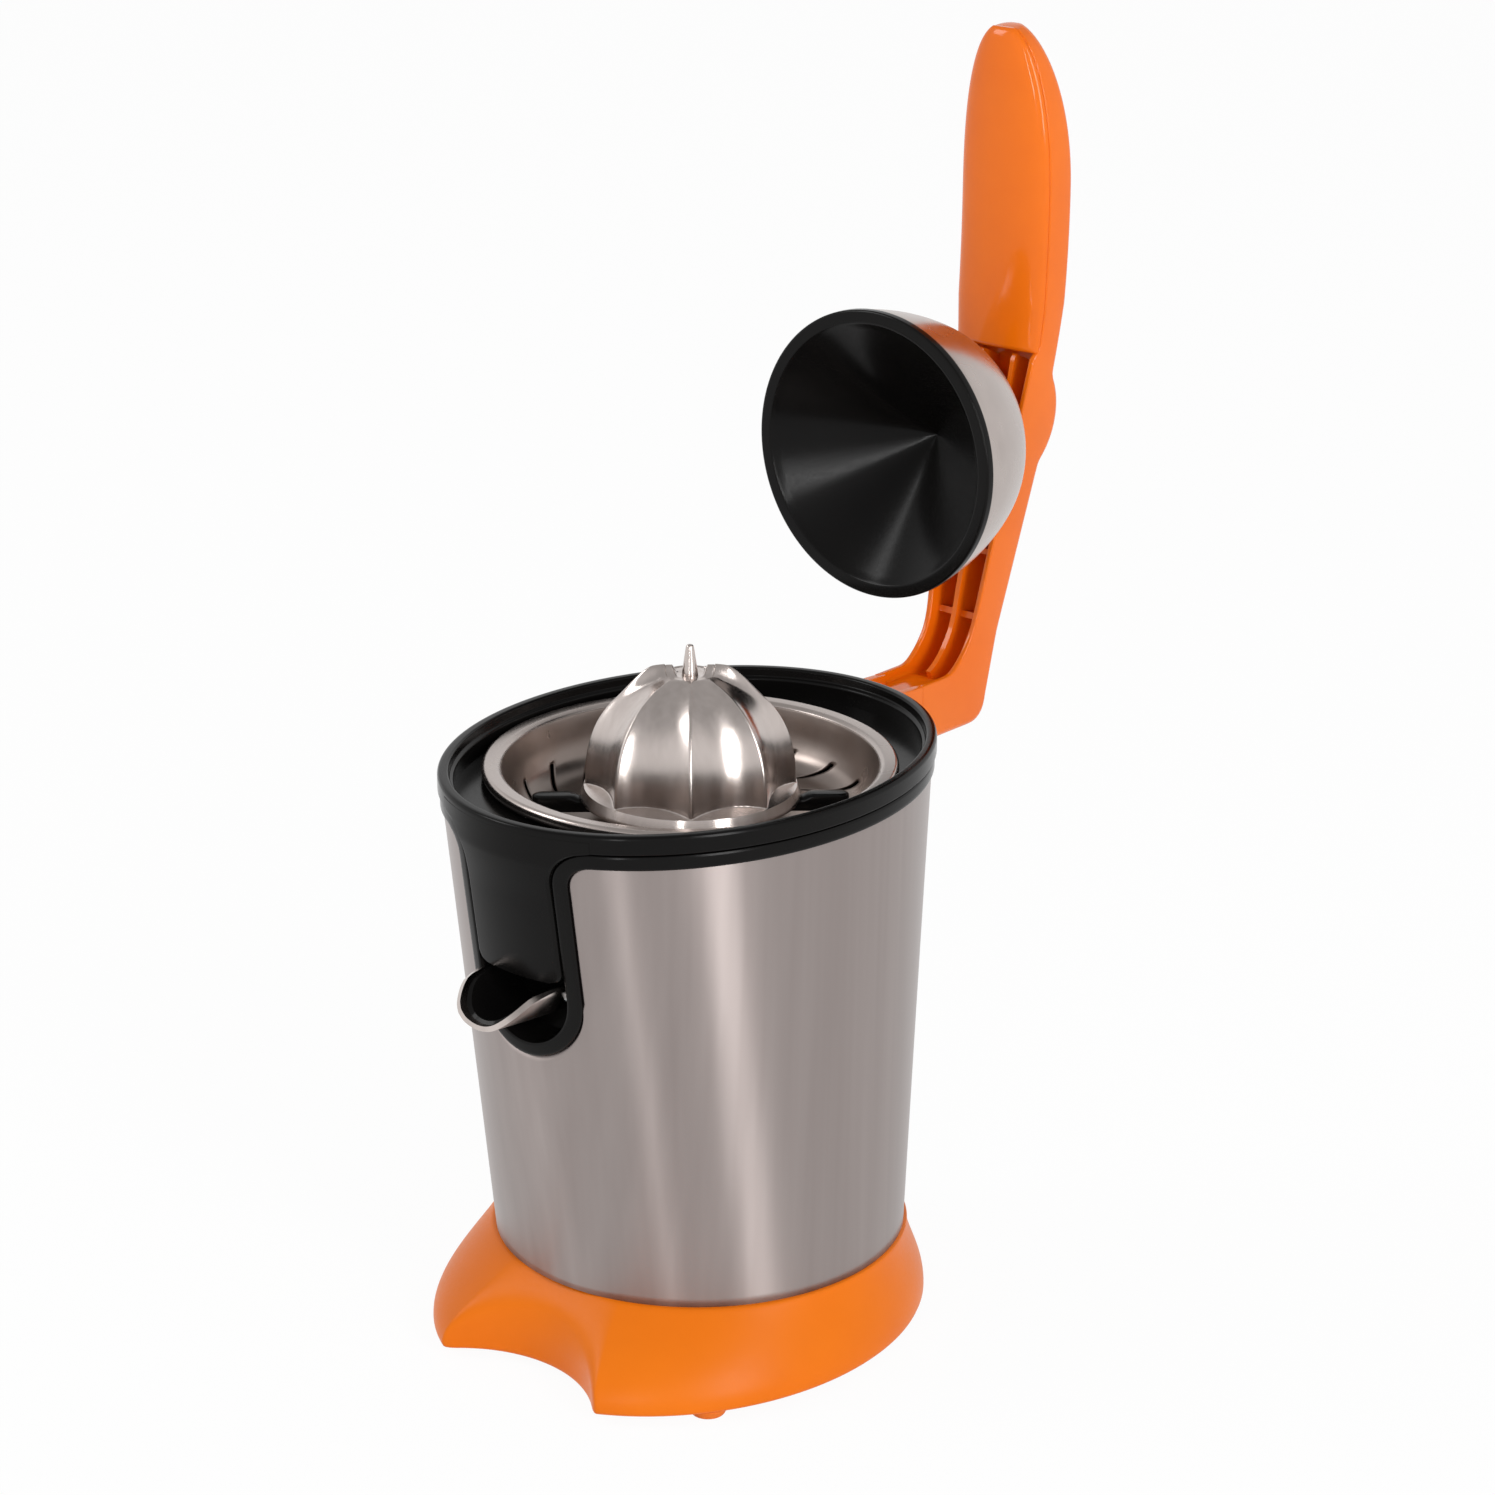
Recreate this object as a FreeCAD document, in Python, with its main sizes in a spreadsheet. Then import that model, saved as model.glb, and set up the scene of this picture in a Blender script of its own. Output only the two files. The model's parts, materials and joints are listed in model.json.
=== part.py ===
import FreeCAD, Part
import math
import os
import Sketcher

# Lever citrus press: an oval steel body on a moulded base, a strainer bowl with a driven reamer,
# and a cranked lever that carries the press cone. Millimetres, +Z up, spout towards -Y.
# The pieces are drawn about the reamer axis, then set back so that the origin lies
# under the middle of the whole press.

doc = FreeCAD.newDocument("citrus_press")
sheet = doc.addObject("Spreadsheet::Sheet", "Sheet")

DIMENSIONS = {
    # Frame
    "axis_setback": 41.1,
    # Base skirt, plate and feet
    "foot_height": 3.5, "foot_radius": 7.2, "foot_taper": 1.3,
    "front_foot_x": 61.0, "front_foot_y": -60.5, "rear_foot_x": 50.0, "rear_foot_y": 56.0,
    "base_top": 33.5, "base_shoulder": 24.0, "base_belly": 13.0,
    "base_top_x": 75.8, "base_top_y": 76.3, "base_top_centre": 4.0,
    "base_shoulder_x": 79.0, "base_shoulder_y": 84.5, "base_shoulder_centre": -1.8,
    "base_belly_x": 83.5, "base_belly_y": 93.5, "base_belly_centre": -6.0,
    "base_foot_x": 85.0, "base_foot_y": 95.5, "base_foot_centre": -7.0,
    "base_wall": 3.0, "base_hollow_y": 77.0, "base_hollow_centre": 8.5,
    "glass_notch_radius": 51.0, "glass_notch_depth": 78.0, "glass_notch_straight": 12.0,
    "glass_notch_flare": 6.0,
    "plate_thickness": 2.5, "plate_gap": 0.4,
    "screw_radius": 1.6, "screw_head_radius": 3.0, "screw_head_height": 1.8, "screw_clearance": 0.05,
    "gland_radius": 5.0, "gland_flange": 7.0, "gland_bore": 3.3, "gland_level": 16.0,
    # Steel sleeve
    "sleeve_top": 204.0, "sleeve_wall": 0.8,
    "sleeve_low_x": 74.5, "sleeve_low_y": 75.0, "sleeve_low_centre": 4.0,
    "sleeve_high_x": 77.5, "sleeve_high_y": 95.5,
    "panel_half": 25.0, "panel_low": 127.0, "panel_corner": 8.0,
    # Collar trim, collector and its front panel
    "trim_proud": 1.0, "trim_top": 209.3, "trim_frame": 5.0, "trim_depth": 17.0, "trim_back": 2.0,
    "rim_bottom": 209.9, "rim_top": 216.5, "rim_x": 79.0, "rim_y": 97.5, "rim_band": 6.2, "rim_band_x": 5.0,
    "deck_top": 206.0, "deck_thickness": 3.0, "wall_x": 75.0, "wall_y": 92.8, "seat_depth": 4.0,
    "panel_gap": 0.4, "panel_thickness": 3.0, "hood_level": 158.5,
    "tray_radius": 69.5, "tray_floor_radius": 60.0, "tray_floor": 158.0, "tray_fall": 3.0, "tray_wall": 2.5,
    "chimney_bore": 9.0, "chimney_wall": 2.5, "chimney_top": 182.0,
    "duct_half": 7.8, "duct_wall": 1.8, "duct_floor": 150.2, "duct_front": 77.0, "duct_back": 46.0,
    # Strainer bowl
    "bowl_rim": 73.6, "bowl_roll": 2.6, "bowl_sweep": 24.0, "bowl_rim_level": 209.0, "bowl_mouth": 67.2,
    "bowl_floor_radius": 58.0, "bowl_floor": 190.0, "bowl_sheet": 0.8, "bowl_bore": 13.0,
    "slot_inner": 43.0, "slot_outer": 57.0, "slot_width": 1.5, "slot_count": 20, "slot_swirl": 0.5,
    # Reamer
    "reamer_flange": 39.0, "reamer_level": 198.0, "reamer_lip": 3.0, "ridge_count": 8, "ridge_phase": -3.0,
    "flute_depth": 0.075, "reamer_foot": 37.6, "reamer_waist": 37.0, "reamer_waist_rise": 15.0,
    "reamer_side": 33.7, "reamer_side_rise": 26.0, "reamer_shoulder": 27.7, "reamer_shoulder_rise": 35.0,
    "reamer_brow": 19.4, "reamer_brow_rise": 41.5, "reamer_crown": 10.4, "reamer_crown_rise": 45.0,
    "reamer_bore": 12.0, "reamer_bore_rise": 33.0, "reamer_cup": 27.0, "reamer_cup_rise": 4.0,
    "fin_thickness": 4.0, "fin_inner": 5.6, "fin_peak": 9.0, "fin_outer": 22.5, "fin_rise": 49.0,
    "fin_root": 37.0, "fin_shoulder": 14.5, "fin_shoulder_rise": 48.0,
    "pin_foot": 2.9, "pin_tip": 1.3, "pin_rise": 55.3, "pin_shank": 2.0, "pin_seat": 40.0,
    "hub_top": 33.0, "hub_flange": 26.5, "hub_flange_rise": 3.0,
    "wiper_reach": 56.0, "wiper_half": 3.5, "wiper_low": 192.8, "wiper_high": 197.6, "wiper_tip_high": 200.5,
    # Drive
    "spindle_radius": 5.0, "spindle_top": 228.0, "spindle_low": 112.0, "running_gap": 0.06,
    "shoulder_radius": 8.0, "shoulder_low": 137.0, "shoulder_height": 2.5,
    "seal_height": 4.0, "seal_lip_gap": 0.35,
    "collar_radius": 26.0, "collar_low": 133.0, "collar_thickness": 4.0,
    "spring_radius": 12.0, "spring_wire": 0.9, "spring_pitch": 3.2,
    "switch_x": -21.0, "switch_length": 10.0, "switch_width": 14.0, "switch_height": 5.6, "button_rise": 0.7,
    "button_radius": 1.5,
    "tooth_module": 1.25, "wheel_teeth": 40, "pinion_teeth": 12, "mesh_slack": 0.25, "flank_slack": 0.3,
    "output_low": 113.0, "wheel_width": 6.0, "idler_low": 101.0, "pinion_width": 8.0,
    "idler_axle": 2.5,
    "lower_plate": 94.0, "lower_plate_thickness": 4.0, "upper_plate": 121.5, "upper_plate_thickness": 3.0,
    "plate_radius": 66.0, "pillar_radius": 5.0, "pillar_circle": 58.0,
    "ring_outer": 72.0, "ring_inner": 60.0, "ring_top": 44.0, "column_front": 69.0, "column_back": 88.0,
    "stator_inner": 24.6, "small_screw": 1.5, "small_head": 2.8, "small_head_height": 1.6,
    "motor_radius": 31.0, "motor_low": 40.0, "motor_shell": 1.5, "motor_bearing": 8.0,
    "rotor_radius": 24.0, "rotor_low": 47.0, "rotor_high": 86.0, "motor_shaft": 2.5, "shaft_low": 25.0,
    "fan_radius": 26.0, "fan_low": 27.0, "fan_disc": 2.0, "blade_height": 8.0, "blade_width": 2.0,
    "blade_count": 8, "fan_hub": 6.0,
    # Spout
    "spout_half_back": 18.5, "spout_half_front": 15.5, "spout_back": -76.0, "spout_top": 156.5,
    "spout_front": -86.5, "spout_sweep": 14.0, "spout_round": 1.04166667,
    "spout_lip": -108.4, "spout_lip_level": 142.5, "spout_back_level": 141.0,
    "spout_sheet": 1.2, "liner_sheet": 1.4, "spout_pin_y": -81.5, "spout_pin_z": 151.8,
    "spout_pin_radius": 1.5, "spout_pin_start": 16.3, "spout_pin_length": 6.0,
    # Lever
    "hinge_y": 104.8, "hinge_z": 205.2, "hinge_pin": 2.5, "eye_radius": 6.2,
    "tongue_half": 7.4, "bracket_half": 12.0, "bracket_low": 178.0, "bracket_high": 201.5,
    "bracket_front": 76.0, "bracket_back": 91.5,
    "foot_half": 11.6, "handle_half": 20.1, "lever_wall": 2.4, "channel_ahead": 13.0,
    "foot_top": 210.8, "foot_bottom": 187.6, "foot_corner_y": 133.0, "heel_y": 155.5, "heel_z": 195.5,
    "heel_start_y": 147.0, "heel_radius": 8.3, "elbow_y": 147.5, "elbow_z": 230.0, "elbow_radius": 30.0,
    "grip_start_y": 170.5, "grip_start_z": 328.0, "grip_end_y": 171.3, "grip_end_z": 434.0,
    "grip_under_radius": 600.0, "tip_front_y": 168.5, "tip_front_z": 445.5, "tip_back_y": 176.0,
    "tip_back_z": 447.5, "grip_back_y": 190.6, "grip_back_z": 385.0, "grip_tip_radius": 141.6,
    "neck_y": 184.5, "neck_z": 317.0, "neck_radius": 384.0, "boss_low_y": 180.5, "boss_low_z": 284.5,
    "boss_radius": 24.3, "taper_low": 222.0, "taper_high": 345.0,
    "paddle_high": 383.0, "paddle_radius": 150.0, "tip_half": 8.0, "tip_level": 442.0, "tip_radius": 8.4,
    "cover_crown": 3.4, "cover_inset": 0.6, "cover_radius": 900.0, "rib_thickness": 2.0,
    # Press cone
    "press_rim": 53.2, "press_face": 98.9, "press_level": 301.2, "press_mouth": 48.2, "press_depth": 38.0,
    "press_lip": 3.5, "liner_wall": 2.6,
    "dome_wall": 1.0, "dome_shoulder": 44.0, "dome_shoulder_depth": 33.0, "dome_crown": 23.5,
    "dome_crown_depth": 52.0, "crown_step": 2.2, "crown_top": 17.0, "crown_depth": 59.0,
    "stud_radius": 3.0, "stud_head": 6.5, "stud_head_height": 3.0, "stud_seat": 181.5, "hub_radius": 12.0,
    "cap_radius": 7.5, "cap_thickness": 3.0,
}

for row, (name, amount) in enumerate(DIMENSIONS.items(), start=1):
    sheet.set(f"A{row}", name)
    sheet.set(f"B{row}", str(amount))
    sheet.setAlias(f"B{row}", name)
doc.recompute()


class Size:
    """A number together with its formula over the sheet."""

    def __init__(self, value, text):
        self.value = value
        self.text = text

    def __add__(self, other):
        other = as_size(other)
        return Size(self.value + other.value, f"({self.text} + {other.text})")

    def __sub__(self, other):
        other = as_size(other)
        return Size(self.value - other.value, f"({self.text} - {other.text})")

    def __mul__(self, other):
        other = as_size(other)
        return Size(self.value * other.value, f"({self.text} * {other.text})")

    def __truediv__(self, other):
        other = as_size(other)
        return Size(self.value / other.value, f"({self.text} / {other.text})")

    def __rsub__(self, other):
        return as_size(other) - self

    def __neg__(self):
        return as_size(0) - self

    __radd__ = __add__
    __rmul__ = __mul__


def as_size(amount):
    """Wrap a plain number so that it can stand in a formula."""
    return amount if isinstance(amount, Size) else Size(float(amount), f"({float(amount)!r})")


class Dims:
    """Each driving dimension of the sheet by its alias."""

    def __getattr__(self, name):
        return Size(float(DIMENSIONS[name]), f"Sheet.{name}")


D = Dims()
NODES = {}
DRAWN_AT = {}


def node(label, thing):
    """Name a finished piece after its node and set it back from the reamer axis."""
    thing.Label = label
    bind(thing, "Placement.Base.y", DRAWN_AT.get(thing.Name, as_size(0)) - D.axis_setback)
    NODES[label] = thing
    return thing


def bind(thing, prop, amount):
    """Bind one property to a formula over the sheet."""
    thing.setExpression(prop, as_size(amount).text)


def place(thing, at, axis=None, angle=0.0):
    """Set a piece at a point, after an optional turn about an axis."""
    if axis is not None:
        turn = FreeCAD.Rotation(FreeCAD.Vector(*axis), angle)
        thing.Placement = FreeCAD.Placement(FreeCAD.Vector(), turn)
    for letter, amount in zip("xyz", at):
        bind(thing, f"Placement.Base.{letter}", amount)
    DRAWN_AT[thing.Name] = as_size(at[1])
    return thing


def new_body(label):
    return doc.addObject("PartDesign::Body", label)


def new_sketch(body, role, lift=0.0):
    """A sketch on one of the body's own origin planes, lifted along the plane's normal."""
    sketch = body.newObject("Sketcher::SketchObject", "Sketch")
    plane = next(item for item in body.Origin.OriginFeatures if item.Role == role)
    sketch.AttachmentSupport = (plane, "")
    sketch.MapMode = "FlatFace"
    bind(sketch, "AttachmentOffset.Base.z", lift)
    return sketch


class Outline:
    """A closed outline of lines and arcs whose corners are bound to the sheet."""

    def __init__(self, sketch, u, v):
        self.sketch = sketch
        self.here = (as_size(u), as_size(v))
        self.first = self.here
        self.edges = []

    def line(self, u, v):
        there = (as_size(u), as_size(v))
        edge = Part.LineSegment(vector(self.here), vector(there))
        self.add(edge, there, 1)
        return self

    def arc(self, u, v, radius, side):
        """An arc to (u, v): side is 1 to turn left along the outline and -1 to turn right."""
        there = (as_size(u), as_size(v))
        start, end = vector(self.here), vector(there)
        radius = as_size(radius)
        chord = end - start
        across = FreeCAD.Vector(-chord.y, chord.x, 0).normalize()
        rise = math.sqrt(max(radius.value ** 2 - chord.Length ** 2 / 4, 0.0))
        centre = (start + end) * 0.5 + across * (rise * side)
        first, last = (start, end) if side > 0 else (end, start)
        sweep = [math.atan2(p.y - centre.y, p.x - centre.x) for p in (first, last)]
        if sweep[1] <= sweep[0]:
            sweep[1] += 2 * math.pi
        circle = Part.Circle(centre, FreeCAD.Vector(0, 0, 1), radius.value)
        middle = (self.here[0] + there[0]) / 2, (self.here[1] + there[1]) / 2
        index = self.add(Part.ArcOfCircle(circle, *sweep), there, 1 if side > 0 else 2)
        if rise > 1e-6:
            self.constrain("Radius", (index,), radius)
        elif abs(chord.x) > abs(chord.y):
            self.constrain("DistanceY", (-1, 1, index, 3), middle[1])
        else:
            self.constrain("DistanceX", (-1, 1, index, 3), middle[0])
        return self

    def add(self, edge, there, start_end):
        index = self.sketch.addGeometry(edge)
        if self.edges:
            last, last_start = self.edges[-1]
            joint = Sketcher.Constraint("Coincident", last, 3 - last_start, index, start_end)
            self.sketch.addConstraint(joint)
        self.edges.append((index, start_end))
        self.constrain("DistanceX", (-1, 1, index, start_end), self.here[0])
        self.constrain("DistanceY", (-1, 1, index, start_end), self.here[1])
        self.here = there
        return index

    def constrain(self, kind, where, amount):
        number = self.sketch.addConstraint(Sketcher.Constraint(kind, *where, amount.value))
        self.sketch.setExpression(f"Constraints[{number}]", amount.text)

    def close(self):
        if vector(self.here).distanceToPoint(vector(self.first)) > 1e-6:
            self.line(*self.first)
        (first, first_start), (last, last_start) = self.edges[0], self.edges[-1]
        joint = Sketcher.Constraint("Coincident", last, 3 - last_start, first, first_start)
        self.sketch.addConstraint(joint)
        return self.sketch


def vector(corner):
    return FreeCAD.Vector(corner[0].value, corner[1].value, 0)


def polygon(sketch, corners):
    outline = Outline(sketch, *corners[0])
    for corner in corners[1:]:
        outline.line(*corner)
    return outline.close()


def round_outline(sketch, u, v, radius):
    circle = Part.Circle(vector((as_size(u), as_size(v))), FreeCAD.Vector(0, 0, 1), as_size(radius).value)
    index = sketch.addGeometry(circle)
    for kind, where, amount in (
        ("DistanceX", (-1, 1, index, 3), u),
        ("DistanceY", (-1, 1, index, 3), v),
        ("Radius", (index,), radius),
    ):
        amount = as_size(amount)
        number = sketch.addConstraint(Sketcher.Constraint(kind, *where, amount.value))
        sketch.setExpression(f"Constraints[{number}]", amount.text)
    return sketch


def pad(body, sketch, length, symmetric=False):
    feature = body.newObject("PartDesign::Pad", "Pad")
    feature.Profile = sketch
    feature.SideType = "Symmetric" if symmetric else "One side"
    bind(feature, "Length", length)
    return feature


def pocket_through(body, sketch):
    feature = body.newObject("PartDesign::Pocket", "Pocket")
    feature.Profile = sketch
    feature.Type = "ThroughAll"
    feature.SideType = "Symmetric"
    return feature


def revolve(body, sketch):
    feature = body.newObject("PartDesign::Revolution", "Revolution")
    feature.Profile = sketch
    feature.ReferenceAxis = (sketch, ["V_Axis"])
    feature.Angle = 360
    return feature


def repeat_round(body, sketch, feature, count):
    """Repeat a feature evenly round its sketch's normal."""
    pattern = body.newObject("PartDesign::PolarPattern", "PolarPattern")
    pattern.Originals = [feature]
    pattern.Axis = (sketch, ["N_Axis"])
    pattern.Angle = 360
    bind(pattern, "Occurrences", count)
    body.Tip = pattern
    return pattern


def turned(label, corners):
    """A piece of revolution about the reamer axis from its half section of (radius, height)."""
    body = new_body(label)
    revolve(body, polygon(new_sketch(body, "XZ_Plane"), corners))
    return body


def slab(label, role, corners, length, lift=0.0, symmetric=True):
    """A polygon padded both ways from an origin plane, or one way from a lifted plane."""
    body = new_body(label)
    pad(body, polygon(new_sketch(body, role, lift), corners), length, symmetric)
    return body


def cylinder(label, radius, height, at, axis=None, angle=0.0):
    thing = doc.addObject("Part::Cylinder", label)
    bind(thing, "Radius", radius)
    bind(thing, "Height", height)
    return place(thing, at, axis, angle)


def cone(label, low_radius, high_radius, height, at):
    thing = doc.addObject("Part::Cone", label)
    bind(thing, "Radius1", low_radius)
    bind(thing, "Radius2", high_radius)
    bind(thing, "Height", height)
    return place(thing, at)


def box(label, sizes, at):
    thing = doc.addObject("Part::Box", label)
    for prop, amount in zip(("Length", "Width", "Height"), sizes):
        bind(thing, prop, amount)
    return place(thing, at)


def oval(half_x, half_y, centre_y, level):
    """An ellipse across the press, long axis from front to back."""
    ring = doc.addObject("Part::Ellipse", "Oval")
    bind(ring, "MajorRadius", half_y)
    bind(ring, "MinorRadius", half_x)
    return place(ring, (0, centre_y, level), (0, 0, 1), 90)


def oval_block(label, half_x, half_y, low, high):
    """An upright oval block about the reamer axis."""
    block = doc.addObject("Part::Extrusion", label)
    block.Base = oval(half_x, half_y, 0, low)
    block.DirMode = "Custom"
    block.Dir = FreeCAD.Vector(0, 0, 1)
    block.Solid = True
    bind(block, "LengthFwd", as_size(high) - low)
    return block


def loft(label, sections):
    thing = doc.addObject("Part::Loft", label)
    thing.Sections = sections
    thing.Solid = True
    return thing


def cut(label, base, *tools):
    for tool in tools:
        step = doc.addObject("Part::Cut", label)
        step.Base = base
        step.Tool = tool
        base = step
    return base


def fuse(label, *things):
    thing = doc.addObject("Part::MultiFuse", label)
    thing.Shapes = list(things)
    return thing


def screw(label, shank_radius, length, head_radius, head_height, at, axis=None, angle=0.0):
    """A screw whose head stands on its seat at the given point; the shank runs below the seat."""
    body = turned(label, [
        (0, -as_size(length)), (shank_radius, -as_size(length)), (shank_radius, 0), (head_radius, 0),
        (head_radius, head_height), (0, head_height)])
    return place(body, at, axis, angle)


def common(label, first, second):
    thing = doc.addObject("Part::Common", label)
    thing.Base = first
    thing.Tool = second
    return thing


def four_corners(x, y):
    return [(x * side, y * end) for side in (1, -1) for end in (1, -1)]


def sleeve_form(label, offset, low=None, high=None):
    """The body's tapered oval, grown by an offset; its taper runs on past both ends when asked."""
    low = D.base_top if low is None else low
    high = D.sleeve_top if high is None else high
    height = D.sleeve_top - D.base_top

    def section(level):
        share = (level - D.base_top) / height
        half_x = D.sleeve_low_x + (D.sleeve_high_x - D.sleeve_low_x) * share + offset
        half_y = D.sleeve_low_y + (D.sleeve_high_y - D.sleeve_low_y) * share + offset
        return oval(half_x, half_y, D.sleeve_low_centre * (1 - share), level)

    return loft(label, [section(low), section(high)])


def front_arch(label, half, low, high, corner=None):
    """A tall arch with a round foot, padded right through the front of the body."""
    body = new_body(label)
    sketch = new_sketch(body, "XZ_Plane", D.sleeve_high_y - D.sleeve_low_y / 4)
    spring_line = low + half
    if corner is None:
        outline = Outline(sketch, half, high)
        outline.line(half * -1, high).line(half * -1, spring_line)
    else:
        outline = Outline(sketch, half + corner, high + corner)
        outline.line(-(half + corner), high + corner).line(-(half + corner), high)
        outline.arc(half * -1, high - corner, corner, -1).line(half * -1, spring_line)
    outline.arc(half, spring_line, half, 1)
    if corner is not None:
        outline.line(half, high - corner).arc(half + corner, high, corner, -1)
    pad(body, outline.close(), D.sleeve_low_y, symmetric=True)
    return body


def base_pieces():
    """Skirt with its two front lobes round the glass notch, floor plate, feet, screws and gland."""
    form = loft("skirt_form", [
        oval(D.base_foot_x, D.base_foot_y, D.base_foot_centre, D.foot_height),
        oval(D.base_belly_x, D.base_belly_y, D.base_belly_centre, D.base_belly),
        oval(D.base_shoulder_x, D.base_shoulder_y, D.base_shoulder_centre, D.base_shoulder),
        oval(D.base_top_x, D.base_top_y, D.base_top_centre, D.base_top),
    ])
    notch = new_body("glass_notch")
    outline = Outline(new_sketch(notch, "XZ_Plane"), 0, 0)
    outline.line(D.glass_notch_radius, 0).line(D.glass_notch_radius, D.glass_notch_straight)
    rise = D.base_top + 1 - D.glass_notch_straight
    flare_radius = (rise * rise + D.glass_notch_flare * D.glass_notch_flare) / (2 * D.glass_notch_flare)
    outline.arc(D.glass_notch_radius + D.glass_notch_flare, D.base_top + 1, flare_radius, -1)
    outline.line(0, D.base_top + 1)
    revolve(notch, outline.close())
    place(notch, (0, -(D.glass_notch_depth + D.glass_notch_radius), 0))
    hollow_x = D.base_top_x - D.base_wall
    hollow = loft("skirt_hollow", [
        oval(hollow_x + D.base_wall, D.base_hollow_y, D.base_hollow_centre, D.foot_height - 1),
        oval(hollow_x - D.base_wall, D.base_top_y - 2 * D.base_wall, D.base_top_centre, D.base_top + 1),
    ])
    gland_mouth = cylinder("gland_mouth", D.gland_radius, 4 * D.gland_flange,
                           (0, D.base_hollow_y, D.gland_level), (1, 0, 0), -90)
    node("base_skirt", cut("skirt", form, notch, hollow, gland_mouth))

    plate_x = hollow_x + D.base_wall - 2 * D.plate_gap
    plate_y = D.base_hollow_y - 2 * D.plate_gap
    plate = loft("plate_form", [
        oval(plate_x, plate_y, D.base_hollow_centre, D.foot_height),
        oval(plate_x - 2 * D.plate_gap, plate_y - 2 * D.plate_gap, D.base_hollow_centre - D.plate_gap,
             D.foot_height + D.plate_thickness),
    ])
    screws = []
    holes = []
    for x, y in four_corners(1, 1):
        at_x = D.pillar_circle * math.sqrt(0.5) * x
        at_y = D.pillar_circle * math.sqrt(0.5) * y
        level = D.foot_height + 0.2
        head = cylinder("screw_head", D.screw_head_radius, D.screw_head_height, (at_x, at_y, level))
        shank = cylinder("screw_shank", D.screw_radius, 14.0, (at_x, at_y, level))
        screws.append(fuse("base_screw", head, shank))
        gap = D.screw_clearance
        sink = cylinder("screw_sink", D.screw_head_radius + gap, D.screw_head_height + 1,
                        (at_x, at_y, level - 1))
        bore = cylinder("screw_bore", D.screw_radius + gap, 16.0, (at_x, at_y, level - 1))
        holes.append(fuse("screw_hole", sink, bore))
    vents = new_body("plate_vents")
    sketch = new_sketch(vents, "XY_Plane")
    vent_gap = 9.0
    vent_half = 1.6
    for index in range(-2, 3):
        polygon(sketch, [(-16, index * vent_gap - vent_half), (16, index * vent_gap - vent_half),
                         (16, index * vent_gap + vent_half), (-16, index * vent_gap + vent_half)])
    pad(vents, sketch, D.base_top)
    node("base_plate", cut("plate", plate, vents, *holes))
    node("base_screws", fuse("screws", *screws))

    feet = []
    for side in (1, -1):
        for x, y in ((D.front_foot_x, D.front_foot_y), (D.rear_foot_x, D.rear_foot_y)):
            feet.append(cone("foot", D.foot_radius - D.foot_taper, D.foot_radius, D.foot_height,
                             (x * side, y, 0)))
    node("rubber_feet", fuse("feet", *feet))

    back_y = D.base_shoulder_y + D.base_shoulder_centre
    barrel = cylinder("gland_barrel", D.gland_radius - 0.05, 15.5, (0, back_y - 9, D.gland_level),
                      (1, 0, 0), -90)
    flange = cylinder("gland_flange", D.gland_flange, 2.0, (0, back_y + 6, D.gland_level), (1, 0, 0), -90)
    bore = cylinder("gland_bore", D.gland_bore, 30.0, (0, back_y - 12, D.gland_level), (1, 0, 0), -90)
    node("cord_gland", cut("gland", fuse("gland_body", barrel, flange), bore))


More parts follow.
